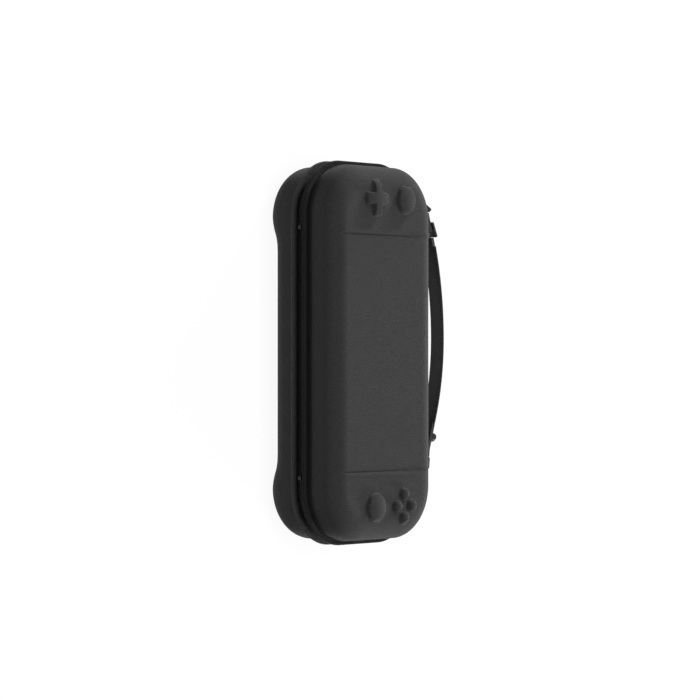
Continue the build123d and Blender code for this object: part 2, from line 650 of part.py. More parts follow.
def card_sleeves(row):
    """Row of card sleeves under the pocket panel."""
    step = SLEEVE_WIDTH + SLEEVE_ROW_GAP
    y = POCKET_FRONT_Y - SLEEVE_FRONT_MARGIN - SLEEVE_WIDTH / 2 - row * step
    outline = RectangleRounded(SLEEVE_LENGTH, SLEEVE_WIDTH, SLEEVE_CORNER)
    sleeve = extrude(outline, SLEEVE_THICKNESS)
    places = GridLocations(SLEEVE_PITCH, SLEEVE_WIDTH, SLEEVE_COUNT, 1)
    base = Pos(0, y, POCKET_Z - SLEEVE_THICKNESS)
    return Compound(children=[base * place * sleeve for place in places])


def build_parts():
    """All pieces by node name, drawn about the zip plane."""
    tape = zip_tape()
    coil = zip_coil()
    slider = zip_slider()
    pull = zip_pull()
    return {
        "base_shell": base_shell(),
        "lid_shell": lid_shell(),
        "spine_strip": spine_strip(),
        "base_zip_tape": tape,
        "lid_zip_tape": mirror(tape, about=Plane.XY),
        "base_zip_coil": coil,
        "lid_zip_coil": mirror(coil, about=Plane.XY),
        "zip_stops": zip_stops(),
        "left_slider": mirror(slider, about=Plane.YZ),
        "right_slider": slider,
        "left_pull": mirror(pull, about=Plane.YZ),
        "right_pull": pull,
        "upper_anchor_tab": anchor_tab(-1, UPPER_EYE, UPPER_TAB_ANGLE),
        "lower_anchor_tab": anchor_tab(1, LOWER_EYE, LOWER_TAB_ANGLE),
        "upper_ring": strap_ring(UPPER_BAR, UPPER_EYE),
        "lower_ring": strap_ring(LOWER_BAR, LOWER_EYE),
        "clasp_hook": clasp_hook(),
        "clasp_trigger": clasp_trigger(),
        "trigger_pin": trigger_pin(),
        "clasp_swivel": clasp_swivel(),
        "strap_ferrule": strap_ferrule(),
        "carry_strap": carry_strap(),
        "strap_stud": strap_stud(),
        "stud_screw": stud_screw(),
        "console_cradle": console_cradle(),
        "pocket_panel": pocket_panel(),
        "pocket_hem": pocket_hem(),
        "front_card_sleeves": card_sleeves(0),
        "rear_card_sleeves": card_sleeves(1),
    }


# Final frame: rest faces on z = 0, box centred on X and Y
PARTS = build_parts()
FRONT_Y = max(part.bounding_box().max.Y for part in PARTS.values())
BACK_Y = min(part.bounding_box().min.Y for part in PARTS.values())
PLACE = Pos(0, -(FRONT_Y + BACK_Y) / 2, BASE_DEPTH)

for name, part in PARTS.items():
    export_step(PLACE * part, f"parts/{name}.step")
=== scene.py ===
"""Looks of a hard-shell zip case for a handheld game console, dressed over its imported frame.

The case lies on its back with the lid up: X runs along it, +Y is the front with the carry strap, -Y is
the cloth spine and +Z is up. Sizes are in millimetres about the middle of the zip plane, and Place turns
them into the frame's metres.
"""
import logging
import math
from collections.abc import Callable, Sequence
from dataclasses import dataclass
from enum import Enum

import bpy
from mathutils import Matrix, Vector


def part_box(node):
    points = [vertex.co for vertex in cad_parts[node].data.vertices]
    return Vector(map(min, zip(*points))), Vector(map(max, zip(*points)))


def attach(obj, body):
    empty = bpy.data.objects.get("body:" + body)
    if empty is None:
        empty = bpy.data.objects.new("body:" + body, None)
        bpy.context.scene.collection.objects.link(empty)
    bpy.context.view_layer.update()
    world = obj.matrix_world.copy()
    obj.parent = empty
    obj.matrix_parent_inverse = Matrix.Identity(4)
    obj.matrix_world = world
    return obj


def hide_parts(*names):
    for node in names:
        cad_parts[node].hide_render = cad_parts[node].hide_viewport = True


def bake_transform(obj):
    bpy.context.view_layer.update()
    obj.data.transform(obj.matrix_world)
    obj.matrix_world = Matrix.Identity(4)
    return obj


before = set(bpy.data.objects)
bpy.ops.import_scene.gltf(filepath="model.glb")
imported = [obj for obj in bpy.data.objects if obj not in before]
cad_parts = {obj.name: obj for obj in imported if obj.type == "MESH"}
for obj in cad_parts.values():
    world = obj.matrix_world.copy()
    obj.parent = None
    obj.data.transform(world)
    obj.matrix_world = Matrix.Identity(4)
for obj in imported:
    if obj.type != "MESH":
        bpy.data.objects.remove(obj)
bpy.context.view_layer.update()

LOG = logging.getLogger("case")
MM = 0.001
RUN = "run_mm"
BAND_WAIST = 0.88
BAND_SELVEDGE = 3.2

Ring = list[Vector]


class Body(str, Enum):
    """Moving bodies of the case that new pieces ride on."""

    BASE = "base"
    LID = "lid"


def linear(hex_colour: str) -> tuple[float, float, float, float]:
    """Turns a colour into the linear values that a shader takes.

    Args:
        hex_colour: sRGB colour such as "#454546".

    Returns:
        Linear red, green, blue and an alpha of 1.
    """
    def channel(start: int) -> float:
        """One linear channel of the hex value."""
        value = int(hex_colour[start:start + 2], 16) / 255
        return value / 12.92 if value <= 0.04045 else ((value + 0.055) / 1.055) ** 2.4
    return channel(1), channel(3), channel(5), 1.0


def add_node(tree: bpy.types.NodeTree, kind: str, settings: dict | None = None,
             inputs: dict | None = None) -> bpy.types.Node:
    """Adds a shader node.

    Args:
        tree: Node tree that gets the node.
        kind: Node type without its ShaderNode prefix.
        settings: Properties of the node itself.
        inputs: Socket name or number to a value, or to the socket that feeds it.

    Returns:
        The new node.
    """
    made = tree.nodes.new("ShaderNode" + kind)
    for name, value in (settings or {}).items():
        setattr(made, name, value)
    for name, value in (inputs or {}).items():
        if isinstance(value, bpy.types.NodeSocket):
            tree.links.new(value, made.inputs[name])
        else:
            made.inputs[name].default_value = value
    return made


def smooth_step(value: float) -> float:
    """Eases a value between 0 and 1."""
    held = min(1.0, max(0.0, value))
    return held * held * (3 - 2 * held)


def rounded_box(x: float, y: float, half_x: float, half_y: float, corner: float) -> float:
    """Gives the distance from a point to a rounded box about the origin, less than 0 inside it.

    Args:
        x: Point's place along the box's length.
        y: Point's place along its width.
        half_x: Half of the box's length.
        half_y: Half of its width.
        corner: Radius of its corners.

    Returns:
        Distance from the box's outline.
    """
    out_x = abs(x) - half_x + corner
    out_y = abs(y) - half_y + corner
    return math.hypot(max(out_x, 0.0), max(out_y, 0.0)) + min(max(out_x, out_y), 0.0) - corner


def soft_least(first: float, second: float, ease: float) -> float:
    """Gives the lesser of two distances, rounded where they are nearly equal."""
    near = max(ease - abs(first - second), 0.0) / ease
    return min(first, second) - near * near * ease / 4


def heading(degrees: float) -> Vector:
    """Gives the flat direction at an angle from +X."""
    return Vector((math.cos(math.radians(degrees)), math.sin(math.radians(degrees))))


class Material:
    """One surface material with its node tree and principled shader."""

    def __init__(self, name: str, **constants: float | tuple) -> None:
        """Starts the material.

        Args:
            name: Name of the real material.
            constants: Principled sockets, with underscores for spaces, and their fixed values.
        """
        self.data = bpy.data.materials.new(name)
        self.data.use_nodes = True
        self.tree = self.data.node_tree
        self.surface = self.tree.nodes["Principled BSDF"]
        for socket, value in constants.items():
            self.surface.inputs[socket.replace("_", " ")].default_value = value

    def node(self, kind: str, settings: dict | None = None, inputs: dict | None = None) -> bpy.types.Node:
        """Adds a node to this material's tree."""
        return add_node(self.tree, kind, settings, inputs)

    def math(self, operation: str, *values: float | bpy.types.NodeSocket) -> bpy.types.NodeSocket:
        """Adds a sum, product or other operation of its values and gives the result."""
        return self.node("Math", {"operation": operation}, dict(enumerate(values))).outputs[0]

    def feed(self, socket: str, source: bpy.types.NodeSocket) -> None:
        """Links a result to one of the principled sockets."""
        self.tree.links.new(source, self.surface.inputs[socket])

    def bump(self, height: bpy.types.NodeSocket, depth_mm: float, strength: float = 1.0) -> None:
        """Raises the surface by a height pattern of a real depth."""
        made = self.node("Bump", None, {"Strength": strength, "Distance": depth_mm * MM, "Height": height})
        self.feed("Normal", made.outputs["Normal"])

    def blend_colours(self, share: bpy.types.NodeSocket, low: str, high: str) -> None:
        """Colours the surface between two hex values by a share from 0 to 1."""
        mixed = self.node("Mix", {"data_type": "RGBA"}, {0: share, 6: linear(low), 7: linear(high)})
        self.feed("Base Color", mixed.outputs[2])

    def vary_roughness(self, share: bpy.types.NodeSocket, low: float, high: float) -> None:
        """Makes the surface smoother and rougher by a share from 0 to 1."""
        spread = self.node("MapRange", None, {0: share, 3: low, 4: high})
        self.feed("Roughness", spread.outputs[0])

    def place(self, scale: tuple[float, float, float]) -> bpy.types.NodeSocket:
        """Gives the piece's own coordinates, scaled on each axis."""
        where = self.node("TexCoord").outputs["Object"]
        return self.node("VectorMath", {"operation": "MULTIPLY"}, {0: where, 1: scale}).outputs[0]

    def noise(self, size_mm: tuple[float, float, float], detail: float = 2.0) -> bpy.types.NodeSocket:
        """Gives a cloudy pattern whose lumps have a real size on each axis.

        Args:
            size_mm: Size of a lump on each axis.
            detail: Count of finer layers.

        Returns:
            Pattern from 0 to 1.
        """
        scale = tuple(1 / (size * MM) for size in size_mm)
        made = self.node("TexNoise", None, {"Vector": self.place(scale), "Scale": 1.0, "Detail": detail})
        return made.outputs[0]

    def waves(self, pitch_mm: float) -> list[bpy.types.NodeSocket]:
        """Gives one sine wave of a real pitch along each of the three axes.

        Args:
            pitch_mm: Length of one wave.

        Returns:
            Waves along x, y and z, from -1 to 1.
        """
        turn = 2 * math.pi / (pitch_mm * MM)
        parts = self.node("SeparateXYZ", None, {0: self.place((turn, turn, turn))}).outputs
        return [self.math("SINE", part) for part in parts]


@dataclass(frozen=True)
class WovenPolyester:
    """Fine plain-woven polyester, heat-pressed over foam.

    It gives the eye a matt charcoal with a pin-point check of threads, slubs that run across the case
    and a soft bloom where the surface turns away. The check also goes into the colour, paler where the
    threads stand up: a painted highlight.
    """

    name: str = "woven polyester over foam"
    colour: str = "#424243"
    # Paler end of the colour: the slubs' real tone, and the painted highlight on raised threads
    slub_and_highlight_colour: str = "#4d4d4e"
    # Threads are about 0.4 mm apart; drawn coarser, so that they show at a step away
    thread_mm: float = 1.4
    relief_mm: float = 0.1
    slub_mm: tuple[float, float, float] = (0.8, 7.0, 2.0)
    facing_power: float = 6.0
    sheen: float = 0.2

    def make(self) -> Material:
        """Makes the material, with the check laid flat on each side of the form.

        Returns:
            The material.
        """
        cloth = Material(self.name, Roughness=0.86, Specular_IOR_Level=0.12, Sheen_Weight=self.sheen,
                         Sheen_Roughness=0.45, Sheen_Tint=linear("#b8b8ba"))
        along, across, up = cloth.waves(self.thread_mm)
        normal = cloth.node("TexCoord").outputs["Normal"]
        facing = cloth.node("VectorMath", {"operation": "ABSOLUTE"}, {0: normal}).outputs[0]
        weights = [cloth.math("POWER", part, self.facing_power)
                   for part in cloth.node("SeparateXYZ", None, {0: facing}).outputs]
        height = None
        for weight, first, second in zip(weights, (across, along, along), (up, up, across)):
            check = cloth.math("MULTIPLY", cloth.math("MULTIPLY", first, second), weight)
            height = check if height is None else cloth.math("ADD", height, check)
        slub = cloth.noise(self.slub_mm)
        # Slub noise is real tone; the thread height added here paints a highlight on raised threads and shade
        # between them
        share = cloth.math("ADD", slub, cloth.math("MULTIPLY", height, 0.4))
        cloth.blend_colours(cloth.node("MapRange", None, {0: share, 1: 0.25, 2: 0.8}).outputs[0],
                            self.colour, self.slub_and_highlight_colour)
        cloth.bump(cloth.math("ADD", height, slub), self.relief_mm)
        return cloth


@dataclass(frozen=True)
class RibbedTape:
    """Tightly woven nylon or polyester tape with ribs across its run.

    It gives the eye fine even ribs, a slightly glossy thread and a painted highlight: the colour is paler
    where each rib stands up.
    """

    name: str
    colour: str
    # Colour of each rib's crest, a painted highlight
    rib_highlight_colour: str
    rib_mm: float = 1.0
    row_mm: float = 1.6
    relief_mm: float = 0.12

    def make(self) -> Material:
        """Makes the material from the distance along the tape and the height on it.

        Returns:
            The material.
        """
        tape = Material(self.name, Roughness=0.74, Specular_IOR_Level=0.2, Sheen_Weight=0.15,
                        Sheen_Roughness=0.5, Sheen_Tint=linear("#a9a9aa"))
        run = tape.node("Attribute", {"attribute_name": RUN}).outputs["Fac"]
        rows = tape.waves(self.row_mm)[2]
        slant = tape.math("MULTIPLY", rows, 0.9)
        phase = tape.math("ADD", tape.math("MULTIPLY", run, 2 * math.pi / self.rib_mm), slant)
        rib = tape.math("MULTIPLY_ADD", tape.math("SINE", phase), 0.5, 0.5)
        # Colour follows the rib's height: a painted highlight on each crest and painted shade between
        tape.blend_colours(tape.math("ADD", rib, 0.25), self.colour, self.rib_highlight_colour)
        tape.bump(tape.math("ADD", rib, tape.math("MULTIPLY", rows, 0.25)), self.relief_mm)
        return tape


@dataclass(frozen=True)
class MouldedNylon:
    """Injection-moulded nylon with a fine spark-eroded grain.

    It gives the eye near-black with a satin highlight that breaks up on close grain.
    """

    name: str
    colour: str
    worn_colour: str
    grain_mm: float = 0.35
    roughness: tuple[float, float] = (0.36, 0.52)

    def make(self) -> Material:
        """Makes the material.

        Returns:
            The material.
        """
        plastic = Material(self.name, IOR=1.53, Specular_IOR_Level=0.4)
        grain = plastic.noise((self.grain_mm,) * 3, 3.0)
        cloud = plastic.noise((9.0, 9.0, 9.0))
        plastic.blend_colours(cloud, self.colour, self.worn_colour)
        plastic.vary_roughness(grain, *self.roughness)
        plastic.bump(grain, 0.03)
        return plastic


@dataclass(frozen=True)
class PlatedMetal:
    """Die-cast zinc with a plated or lacquered skin.

    It gives the eye a dark mirror that is slightly clouded, with fine tumbling marks.
    """

    name: str
    colour: str
    cloud_colour: str
    metallic: float = 1.0
    roughness: tuple[float, float] = (0.2, 0.36)
    coat: float = 0.0

    def make(self) -> Material:
        """Makes the material.

        Returns:
            The material.
        """
        metal = Material(self.name, Metallic=self.metallic, Coat_Weight=self.coat, Coat_Roughness=0.2)
        cloud = metal.noise((3.0, 3.0, 3.0), 3.0)
        marks = metal.noise((0.3, 1.4, 0.3), 1.0)
        metal.blend_colours(cloud, self.colour, self.cloud_colour)
        metal.vary_roughness(marks, *self.roughness)
        metal.bump(marks, 0.012)
        return metal


@dataclass(frozen=True)
class FlockedFoam:
    """Moulded foam sprayed with short nylon flock.

    It gives the eye a deep matt black-grey with a suede bloom and faint brushed patches.
    """

    name: str = "flocked foam"
    colour: str = "#262627"
    nap_colour: str = "#323233"
    fibre_mm: float = 0.5

    def make(self) -> Material:
        """Makes the material.

        Returns:
            The material.
        """
        flock = Material(self.name, Roughness=0.95, Specular_IOR_Level=0.05, Sheen_Weight=0.5,
                         Sheen_Roughness=0.35, Sheen_Tint=linear("#8f8f92"))
        fibre = flock.noise((self.fibre_mm,) * 3, 2.0)
        patch = flock.noise((26.0, 26.0, 26.0))
        flock.blend_colours(flock.math("ADD", flock.math("MULTIPLY", fibre, 0.45),
                                       flock.math("MULTIPLY", patch, 0.55)), self.colour, self.nap_colour)
        flock.bump(fibre, 0.12)
        return flock


class Finish:
    """Every finish of the case, made once and shared by the pieces."""

    def __init__(self) -> None:
        """Makes the materials."""
        self.shell = WovenPolyester().make()
        # Lighter copy of the shell cloth for the base's bead: a painted highlight along the bead
        self.painted_highlight_cloth = WovenPolyester("woven binding", "#4d4d4e", "#5b5b5c", 1.0).make()
        # Darker copy of the shell cloth for the lid's bead: painted shade in the groove under the lid's wall
        self.painted_shade_cloth = WovenPolyester("dark woven piping", "#212122", "#2a2a2b", 1.0).make()
        self.lining = WovenPolyester("brushed polyester lining", "#2c2c2d", "#373738", thread_mm=1.5).make()
        self.zip_tape = RibbedTape("woven zip tape", "#1d1d1e", "#363637", 0.9, 1.4).make()
        self.spine = RibbedTape("woven spine tape", "#161617", "#29292a", 1.2, 2.2).make()
        self.webbing = RibbedTape("nylon webbing", "#2b2b2c", "#404041", 1.3, 2.0, 0.16).make()
        self.elastic = RibbedTape("ribbed elastic", "#171718", "#2b2b2c", 0.8, 1.0, 0.2).make()
        self.coil = MouldedNylon("nylon zip coil", "#0e0e0f", "#171718", roughness=(0.5, 0.62)).make()
        self.plastic = MouldedNylon("moulded nylon", "#070708", "#0f0f10").make()
        self.lacquer = PlatedMetal("black lacquered zinc", "#0f0f10", "#19191a", 0.5, (0.38, 0.5),
                                   0.25).make()
        self.nickel = PlatedMetal("black nickel plate", "#2c2c2e", "#3f3f42", 1.0, (0.16, 0.28)).make()
        self.gunmetal = PlatedMetal("gunmetal plate", "#252527", "#343437", 1.0, (0.3, 0.42)).make()
        self.foam = FlockedFoam().make()
        self.thread = RibbedTape("bonded sewing thread", "#2e2e2f", "#454546", 0.5, 0.5, 0.05).make()


@dataclass(frozen=True)
class Place:
    """Middle of the zip plane in the frame, and the turn from millimetres about it to metres."""

    middle: Vector

    @classmethod
    def from_frame(cls) -> "Place":
        """Finds the zip plane half way between the two shells' rims.

        Returns:
            Place of the zip plane's middle.
        """
        base_low, base_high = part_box("base_shell")
        lid_low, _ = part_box("lid_shell")
        side = (base_low + base_high) / 2
        return cls(Vector((side.x, side.y, (base_high.z + lid_low.z) / 2)))

    def point(self, x: float, y: float, z: float) -> Vector:
        """Gives the frame point of millimetres about the zip plane's middle."""
        return self.middle + Vector((x, y, z)) * MM

    def circle(self, spot: Vector, first: Vector, second: Vector, radius: float, sides: int) -> Ring:
        """Gives the frame points of a circle about a spot, in the plane of two directions.

        Args:
            spot: Middle of the circle, in millimetres.
            first: Direction of its first point.
            second: Direction at a right angle to the first.
            radius: Radius of the circle.
            sides: Count of its points.

        Returns:
            Frame points of the circle.
        """
        turns = [2 * math.pi * k / sides for k in range(sides)]
        return [self.point(*(spot + (first * math.cos(turn) + second * math.sin(turn)) * radius))
                for turn in turns]


class MeshSketch:
    """Points, faces and distances along a run, gathered before they become one piece."""

    def __init__(self) -> None:
        """Starts empty."""
        self.points: list[Vector] = []
        self.runs: list[float] = []
        self.faces: list[tuple[int, ...]] = []
        self.slots: list[int] = []

    def ring(self, points: Sequence[Vector], run: float = 0.0) -> list[int]:
        """Adds points and gives their numbers.

        Args:
            points: Frame points.
            run: Distance of the points along the run, in millimetres.

        Returns:
            Number of each point.
        """
        first = len(self.points)
        self.points.extend(points)
        self.runs.extend([run] * len(points))
        return list(range(first, first + len(points)))

    def face(self, corners: Sequence[int], slot: int = 0) -> None:
        """Adds one face, without corners that repeat.

        Args:
            corners: Point numbers.
            slot: Material slot of the faces.
        """
        kept = [c for i, c in enumerate(corners) if c != corners[i - 1]]
        if len(set(kept)) > 2:
            self.faces.append(tuple(kept))
            self.slots.append(slot)

    def bridge(self, first: Sequence[int], second: Sequence[int], closed: bool = True, slot: int = 0) -> None:
        """Joins two rings of equal count with quads.

        Args:
            first: Point numbers of one ring.
            second: Point numbers of the next.
            closed: Whether each ring joins its own end.
            slot: Material slot of the faces.
        """
        count = len(first)
        for i in range(count if closed else count - 1):
            j = (i + 1) % count
            self.face((first[i], first[j], second[j], second[i]), slot)

    def loft(self, rings: Sequence[Ring], runs: Sequence[float] | None = None, closed: bool = True,
             slot: int = 0) -> list[list[int]]:
        """Adds rings and joins each to the next.

        Args:
            rings: Rings of equal count.
            runs: Distance along the run of each ring, in millimetres.
            closed: Whether each ring joins its own end.
            slot: Material slot of the faces.

        Returns:
            Point numbers of every ring.
        """
        made = [self.ring(ring, runs[i] if runs else 0.0) for i, ring in enumerate(rings)]
        for first, second in zip(made, made[1:]):
            self.bridge(first, second, closed, slot)
        return made

    def tube(self, rings: Sequence[Ring], runs: Sequence[float] | None = None, slot: int = 0) -> None:
        """Adds a closed tube with a flat face at each end.

        Args:
            rings: Rings of equal count.
            runs: Distance along the run of each ring, in millimetres.
            slot: Material slot of the faces.
        """
        made = self.loft(rings, runs, True, slot)
        self.face(made[0][::-1], slot)
        self.face(made[-1], slot)

    def sheet(self, front: Sequence[Ring], back: Sequence[Ring]) -> None:
        """Adds a thin closed sheet from the rows of points on its two faces.

        Args:
            front: Rows of points on the front.
            back: Rows of points on the back, in the same order.
        """
        made = self.loft([near + far[::-1] for near, far in zip(front, back)])
        count = len(front[0])
        for ring in (made[0][::-1], made[-1]):
            for i in range(count - 1):
                self.face((ring[i], ring[i + 1], ring[2 * count - 2 - i], ring[2 * count - 1 - i]))

    def close_across(self, ring: Sequence[int], slot: int = 0) -> None:
        """Fills a mirrored ring with strips from each point to the one across from it.

        Args:
            ring: Point numbers of the ring.
            slot: Material slot of the faces.
        """
        count = len(ring)
        for i in range(count // 2):
            self.face((ring[i], ring[i + 1], ring[(count - i - 1) % count], ring[(count - i) % count]), slot)

    def build(self, name: str, finishes: Sequence[Material],
              crease_degrees: float = 48.0) -> bpy.types.Object:
        """Makes the piece.

        Args:
            name: Name of the piece.
            finishes: Material of each slot.
            crease_degrees: Edges that turn more than this stay sharp.

        Returns:
            The new object, in the scene.
        """
        mesh = bpy.data.meshes.new(name)
        mesh.from_pydata(self.points, [], self.faces)
        mesh.polygons.foreach_set("material_index", self.slots)
        attribute = mesh.attributes.new(RUN, "FLOAT", "POINT")
        attribute.data.foreach_set("value", self.runs)
        mesh.validate()
        for finish in finishes:
            mesh.materials.append(finish.data)
        mesh.shade_smooth()
        mesh.set_sharp_from_angle(angle=math.radians(crease_degrees))
        made = bpy.data.objects.new(name, mesh)
        bpy.context.scene.collection.objects.link(made)
        return made


def settle(piece: bpy.types.Object, body: Body, slot: str, *nodes: str) -> bpy.types.Object:
    """Rides a piece on its body and hides the plain solids that it stands for.

    Args:
        piece: New piece, in place.
        body: Body that it moves with.
        slot: Not used.
        nodes: CAD nodes that it replaces.

    Returns:
        The piece.
    """
    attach(piece, body.value)
    if nodes:
        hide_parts(*nodes)
    LOG.info("%s rides on %s", piece.name, body.value)
    return piece


@dataclass
class CaseOutline:
    """Rounded outline shared by both shells, with the stations that every ring is drawn at."""

    half_length: float = 128.8
    half_width: float = 58.3
    corner_radius: float = 37.0
    smallest_radius: float = 1.5
    draft_degrees: float = 4.0
    rim: float = 4.2
    rim_wall: float = 2.2
    wall: float = 3.2
    tape_seat: float = 9.0
    lip_reach: float = 2.5
    lip_height: float = 3.0
    seam_tuck: float = 0.6
    bead_round: float = 0.43
    bead_flat: float = 0.35
    groove_dip: float = 0.3
    groove_rise: float = 0.7
    quarter_steps: int = 6
    end_stations: int = 48
    corner_stations: int = 44
    crease_share: float = 0.8
    crease_stations: int = 48
    middle_stations: int = 36

    def half_ring(self, inset: float) -> list[tuple[float, float]]:
        """Gives the ring's points with y of 0 or more, from +X round to -X.

        Args:
            inset: Distance inwards from the outline.

        Returns:
            X and y of each station.
        """
        radius = max(self.corner_radius - inset, self.smallest_radius)
        side = self.half_length - inset - radius
        end = self.half_width - inset - radius
        points = [(side + radius, end * i / self.end_stations) for i in range(self.end_stations)]
        for i in range(self.corner_stations):
            turn = math.pi / 2 * i / self.corner_stations
            points.append((side + radius * math.cos(turn), end + radius * math.sin(turn)))
        steps = [1 - (1 - self.crease_share) * i / self.crease_stations for i in range(self.crease_stations)]
        steps += [self.crease_share * (1 - 2 * i / self.middle_stations)
                  for i in range(self.middle_stations // 2)]
        points += [(side * share, end + radius) for share in steps]
        mirrored = [(-x, y) for x, y in reversed(points)]
        return points + [(0.0, end + radius)] + mirrored

    def ring(self, inset: float) -> list[tuple[float, float]]:
        """Gives the whole ring, from the middle of the +X end through +Y and back."""
        half = self.half_ring(inset)
        return half + [(x, -y) for x, y in reversed(half[1:-1])]

    def zip_run(self, inset: float, spine_half: float) -> list[tuple[float, float]]:
        """Gives the outline from one end of the spine round the front to the other end.

        Args:
            inset: Distance inwards from the outline.
            spine_half: Half of the spine's length.

        Returns:
            X and y of each station.
        """
        half = self.half_ring(inset)
        ring = [(x, -y) for x, y in reversed(half[1:-1])] + half
        turned = ring[len(half) // 2 - 1:] + ring[:len(half) // 2 - 1]
        low = -(self.half_width - inset)
        kept = [(x, y) for x, y in turned if not (abs(x) < spine_half and y < 0)]
        return [(spine_half, low)] + kept + [(-spine_half, low)]

    def draft_inset(self, height: float) -> float:
        """Gives how far the wall has leaned in at a height above its rim."""
        return height * math.tan(math.radians(self.draft_degrees))

    def lip_profile(self, reach: float, height: float, tuck: float) -> list[tuple[float, float]]:
        """Gives the bead round a shell's rim, from the rim's inner edge to the wall.

        Args:
            reach: Distance of the bead's outside from the outline.
            height: Height of the bead.
            tuck: Depth of the groove between the bead and the wall.

        Returns:
            Inset and height above the rim of each point.
        """
        bend = height * self.bead_round
        centre = bend - reach
        points = [(self.rim_wall, 0.0), (self.rim_wall * 0.4, 0.0), (centre + self.bead_flat, 0.0)]
        quarter = [math.pi / 2 * i / self.quarter_steps for i in range(self.quarter_steps + 1)]
        points += [(centre - bend * math.sin(turn), bend * (1 - math.cos(turn))) for turn in quarter]
        points += [(centre - bend * math.cos(turn), height - bend * (1 - math.sin(turn))) for turn in quarter]
        groove = self.draft_inset(height)
        points += [(-0.5, height), (groove + tuck * 0.4, height - self.groove_dip)]
        points += [(groove + tuck, height + 0.05), (groove + tuck * 0.85, height + self.groove_rise)]
        return points


@dataclass
class Embossing:
    """Soft domed controls and two creases on the lid's face."""

    height: float = 3.9
    foot: float = 0.15
    side_share: float = 0.6
    side_run: float = 0.95
    control_x: float = 105.2
    cross_span: float = 24.2
    cross_arm: float = 8.4
    cross_corner: float = 2.4
    cross_fillet: float = 2.6
    cross_y: float = -10.8
    stick_radius: float = 9.7
    stick_upper_y: float = 21.6
    stick_lower_y: float = -11.8
    button_radius: float = 4.3
    button_pitch: float = 8.1
    buttons_y: float = 19.6
    crease_x: float = 80.6
    crease_half: float = 0.75
    crease_spread: float = 1.5
    crease_depth: float = 0.85
    crease_end_y: float = 50.0
    crease_fade: float = 8.0
    crease_spread_y: float = 40.0
    ridge_height: float = 0.3
    ridge_half: float = 1.6

    def rise(self, distance: float, away: float, radius: float) -> float:
        """Gives a form's height: a steep side inside its outline, and a dome over the whole of it.

        Args:
            distance: Distance from the form's outline, less than 0 inside it.
            away: Distance from its middle.
            radius: Distance of the dome's edge from its middle.

        Returns:
            Height above the lid's face.
        """
        side = min(1.0, max(0.0, (self.foot - distance) / (self.foot + self.side_run)))
        dome = 1 - min(1.0, away / radius) ** 2
        share = self.side_share * (1 - (1 - side) ** 2)
        return self.height * (share + (1 - self.side_share) * dome * smooth_step(side))

    def crease(self, x: float, y: float) -> float:
        """Gives the height of the two creases and the low ridge beside each, wider towards the front.

        Args:
            x: Distance along the case.
            y: Distance across the case.

        Returns:
            Height above the lid's face, less than 0 in a crease.
        """
        beyond = abs(x) - self.crease_x
        half = self.crease_half + self.crease_spread * smooth_step(y / self.crease_spread_y)
        fade = smooth_step((self.crease_end_y - abs(y)) / self.crease_fade)
        ridge = self.ridge_height * math.exp(-((beyond - half - self.ridge_half) / self.ridge_half) ** 2)
        return fade * (ridge - self.crease_depth * math.exp(-(beyond / half) ** 2))

    def relief(self, x: float, y: float) -> float:
        """Gives the height of the lid's face above its flat at a point.

        Args:
            x: Distance along the case.
            y: Distance across the case.

        Returns:
            Height above the flat.
        """
        span, arm = self.cross_span / 2, self.cross_arm / 2
        cross_x, cross_y = x + self.control_x, y - self.cross_y
        distance = soft_least(rounded_box(cross_x, cross_y, span, arm, self.cross_corner),
                              rounded_box(cross_x, cross_y, arm, span, self.cross_corner), self.cross_fillet)
        rises = [self.rise(distance, math.hypot(cross_x, cross_y), span)]
        for stick_x, stick_y in ((-self.control_x, self.stick_upper_y), (self.control_x, self.stick_lower_y)):
            away = math.hypot(x - stick_x, y - stick_y)
            rises.append(self.rise(away - self.stick_radius, away, self.stick_radius))
        for step_x, step_y in ((1, 0), (-1, 0), (0, 1), (0, -1)):
            away = math.hypot(x - self.control_x - step_x * self.button_pitch,
                              y - self.buttons_y - step_y * self.button_pitch)
            rises.append(self.rise(away - self.button_radius, away, self.button_radius))
        return max(rises) + self.crease(x, y)


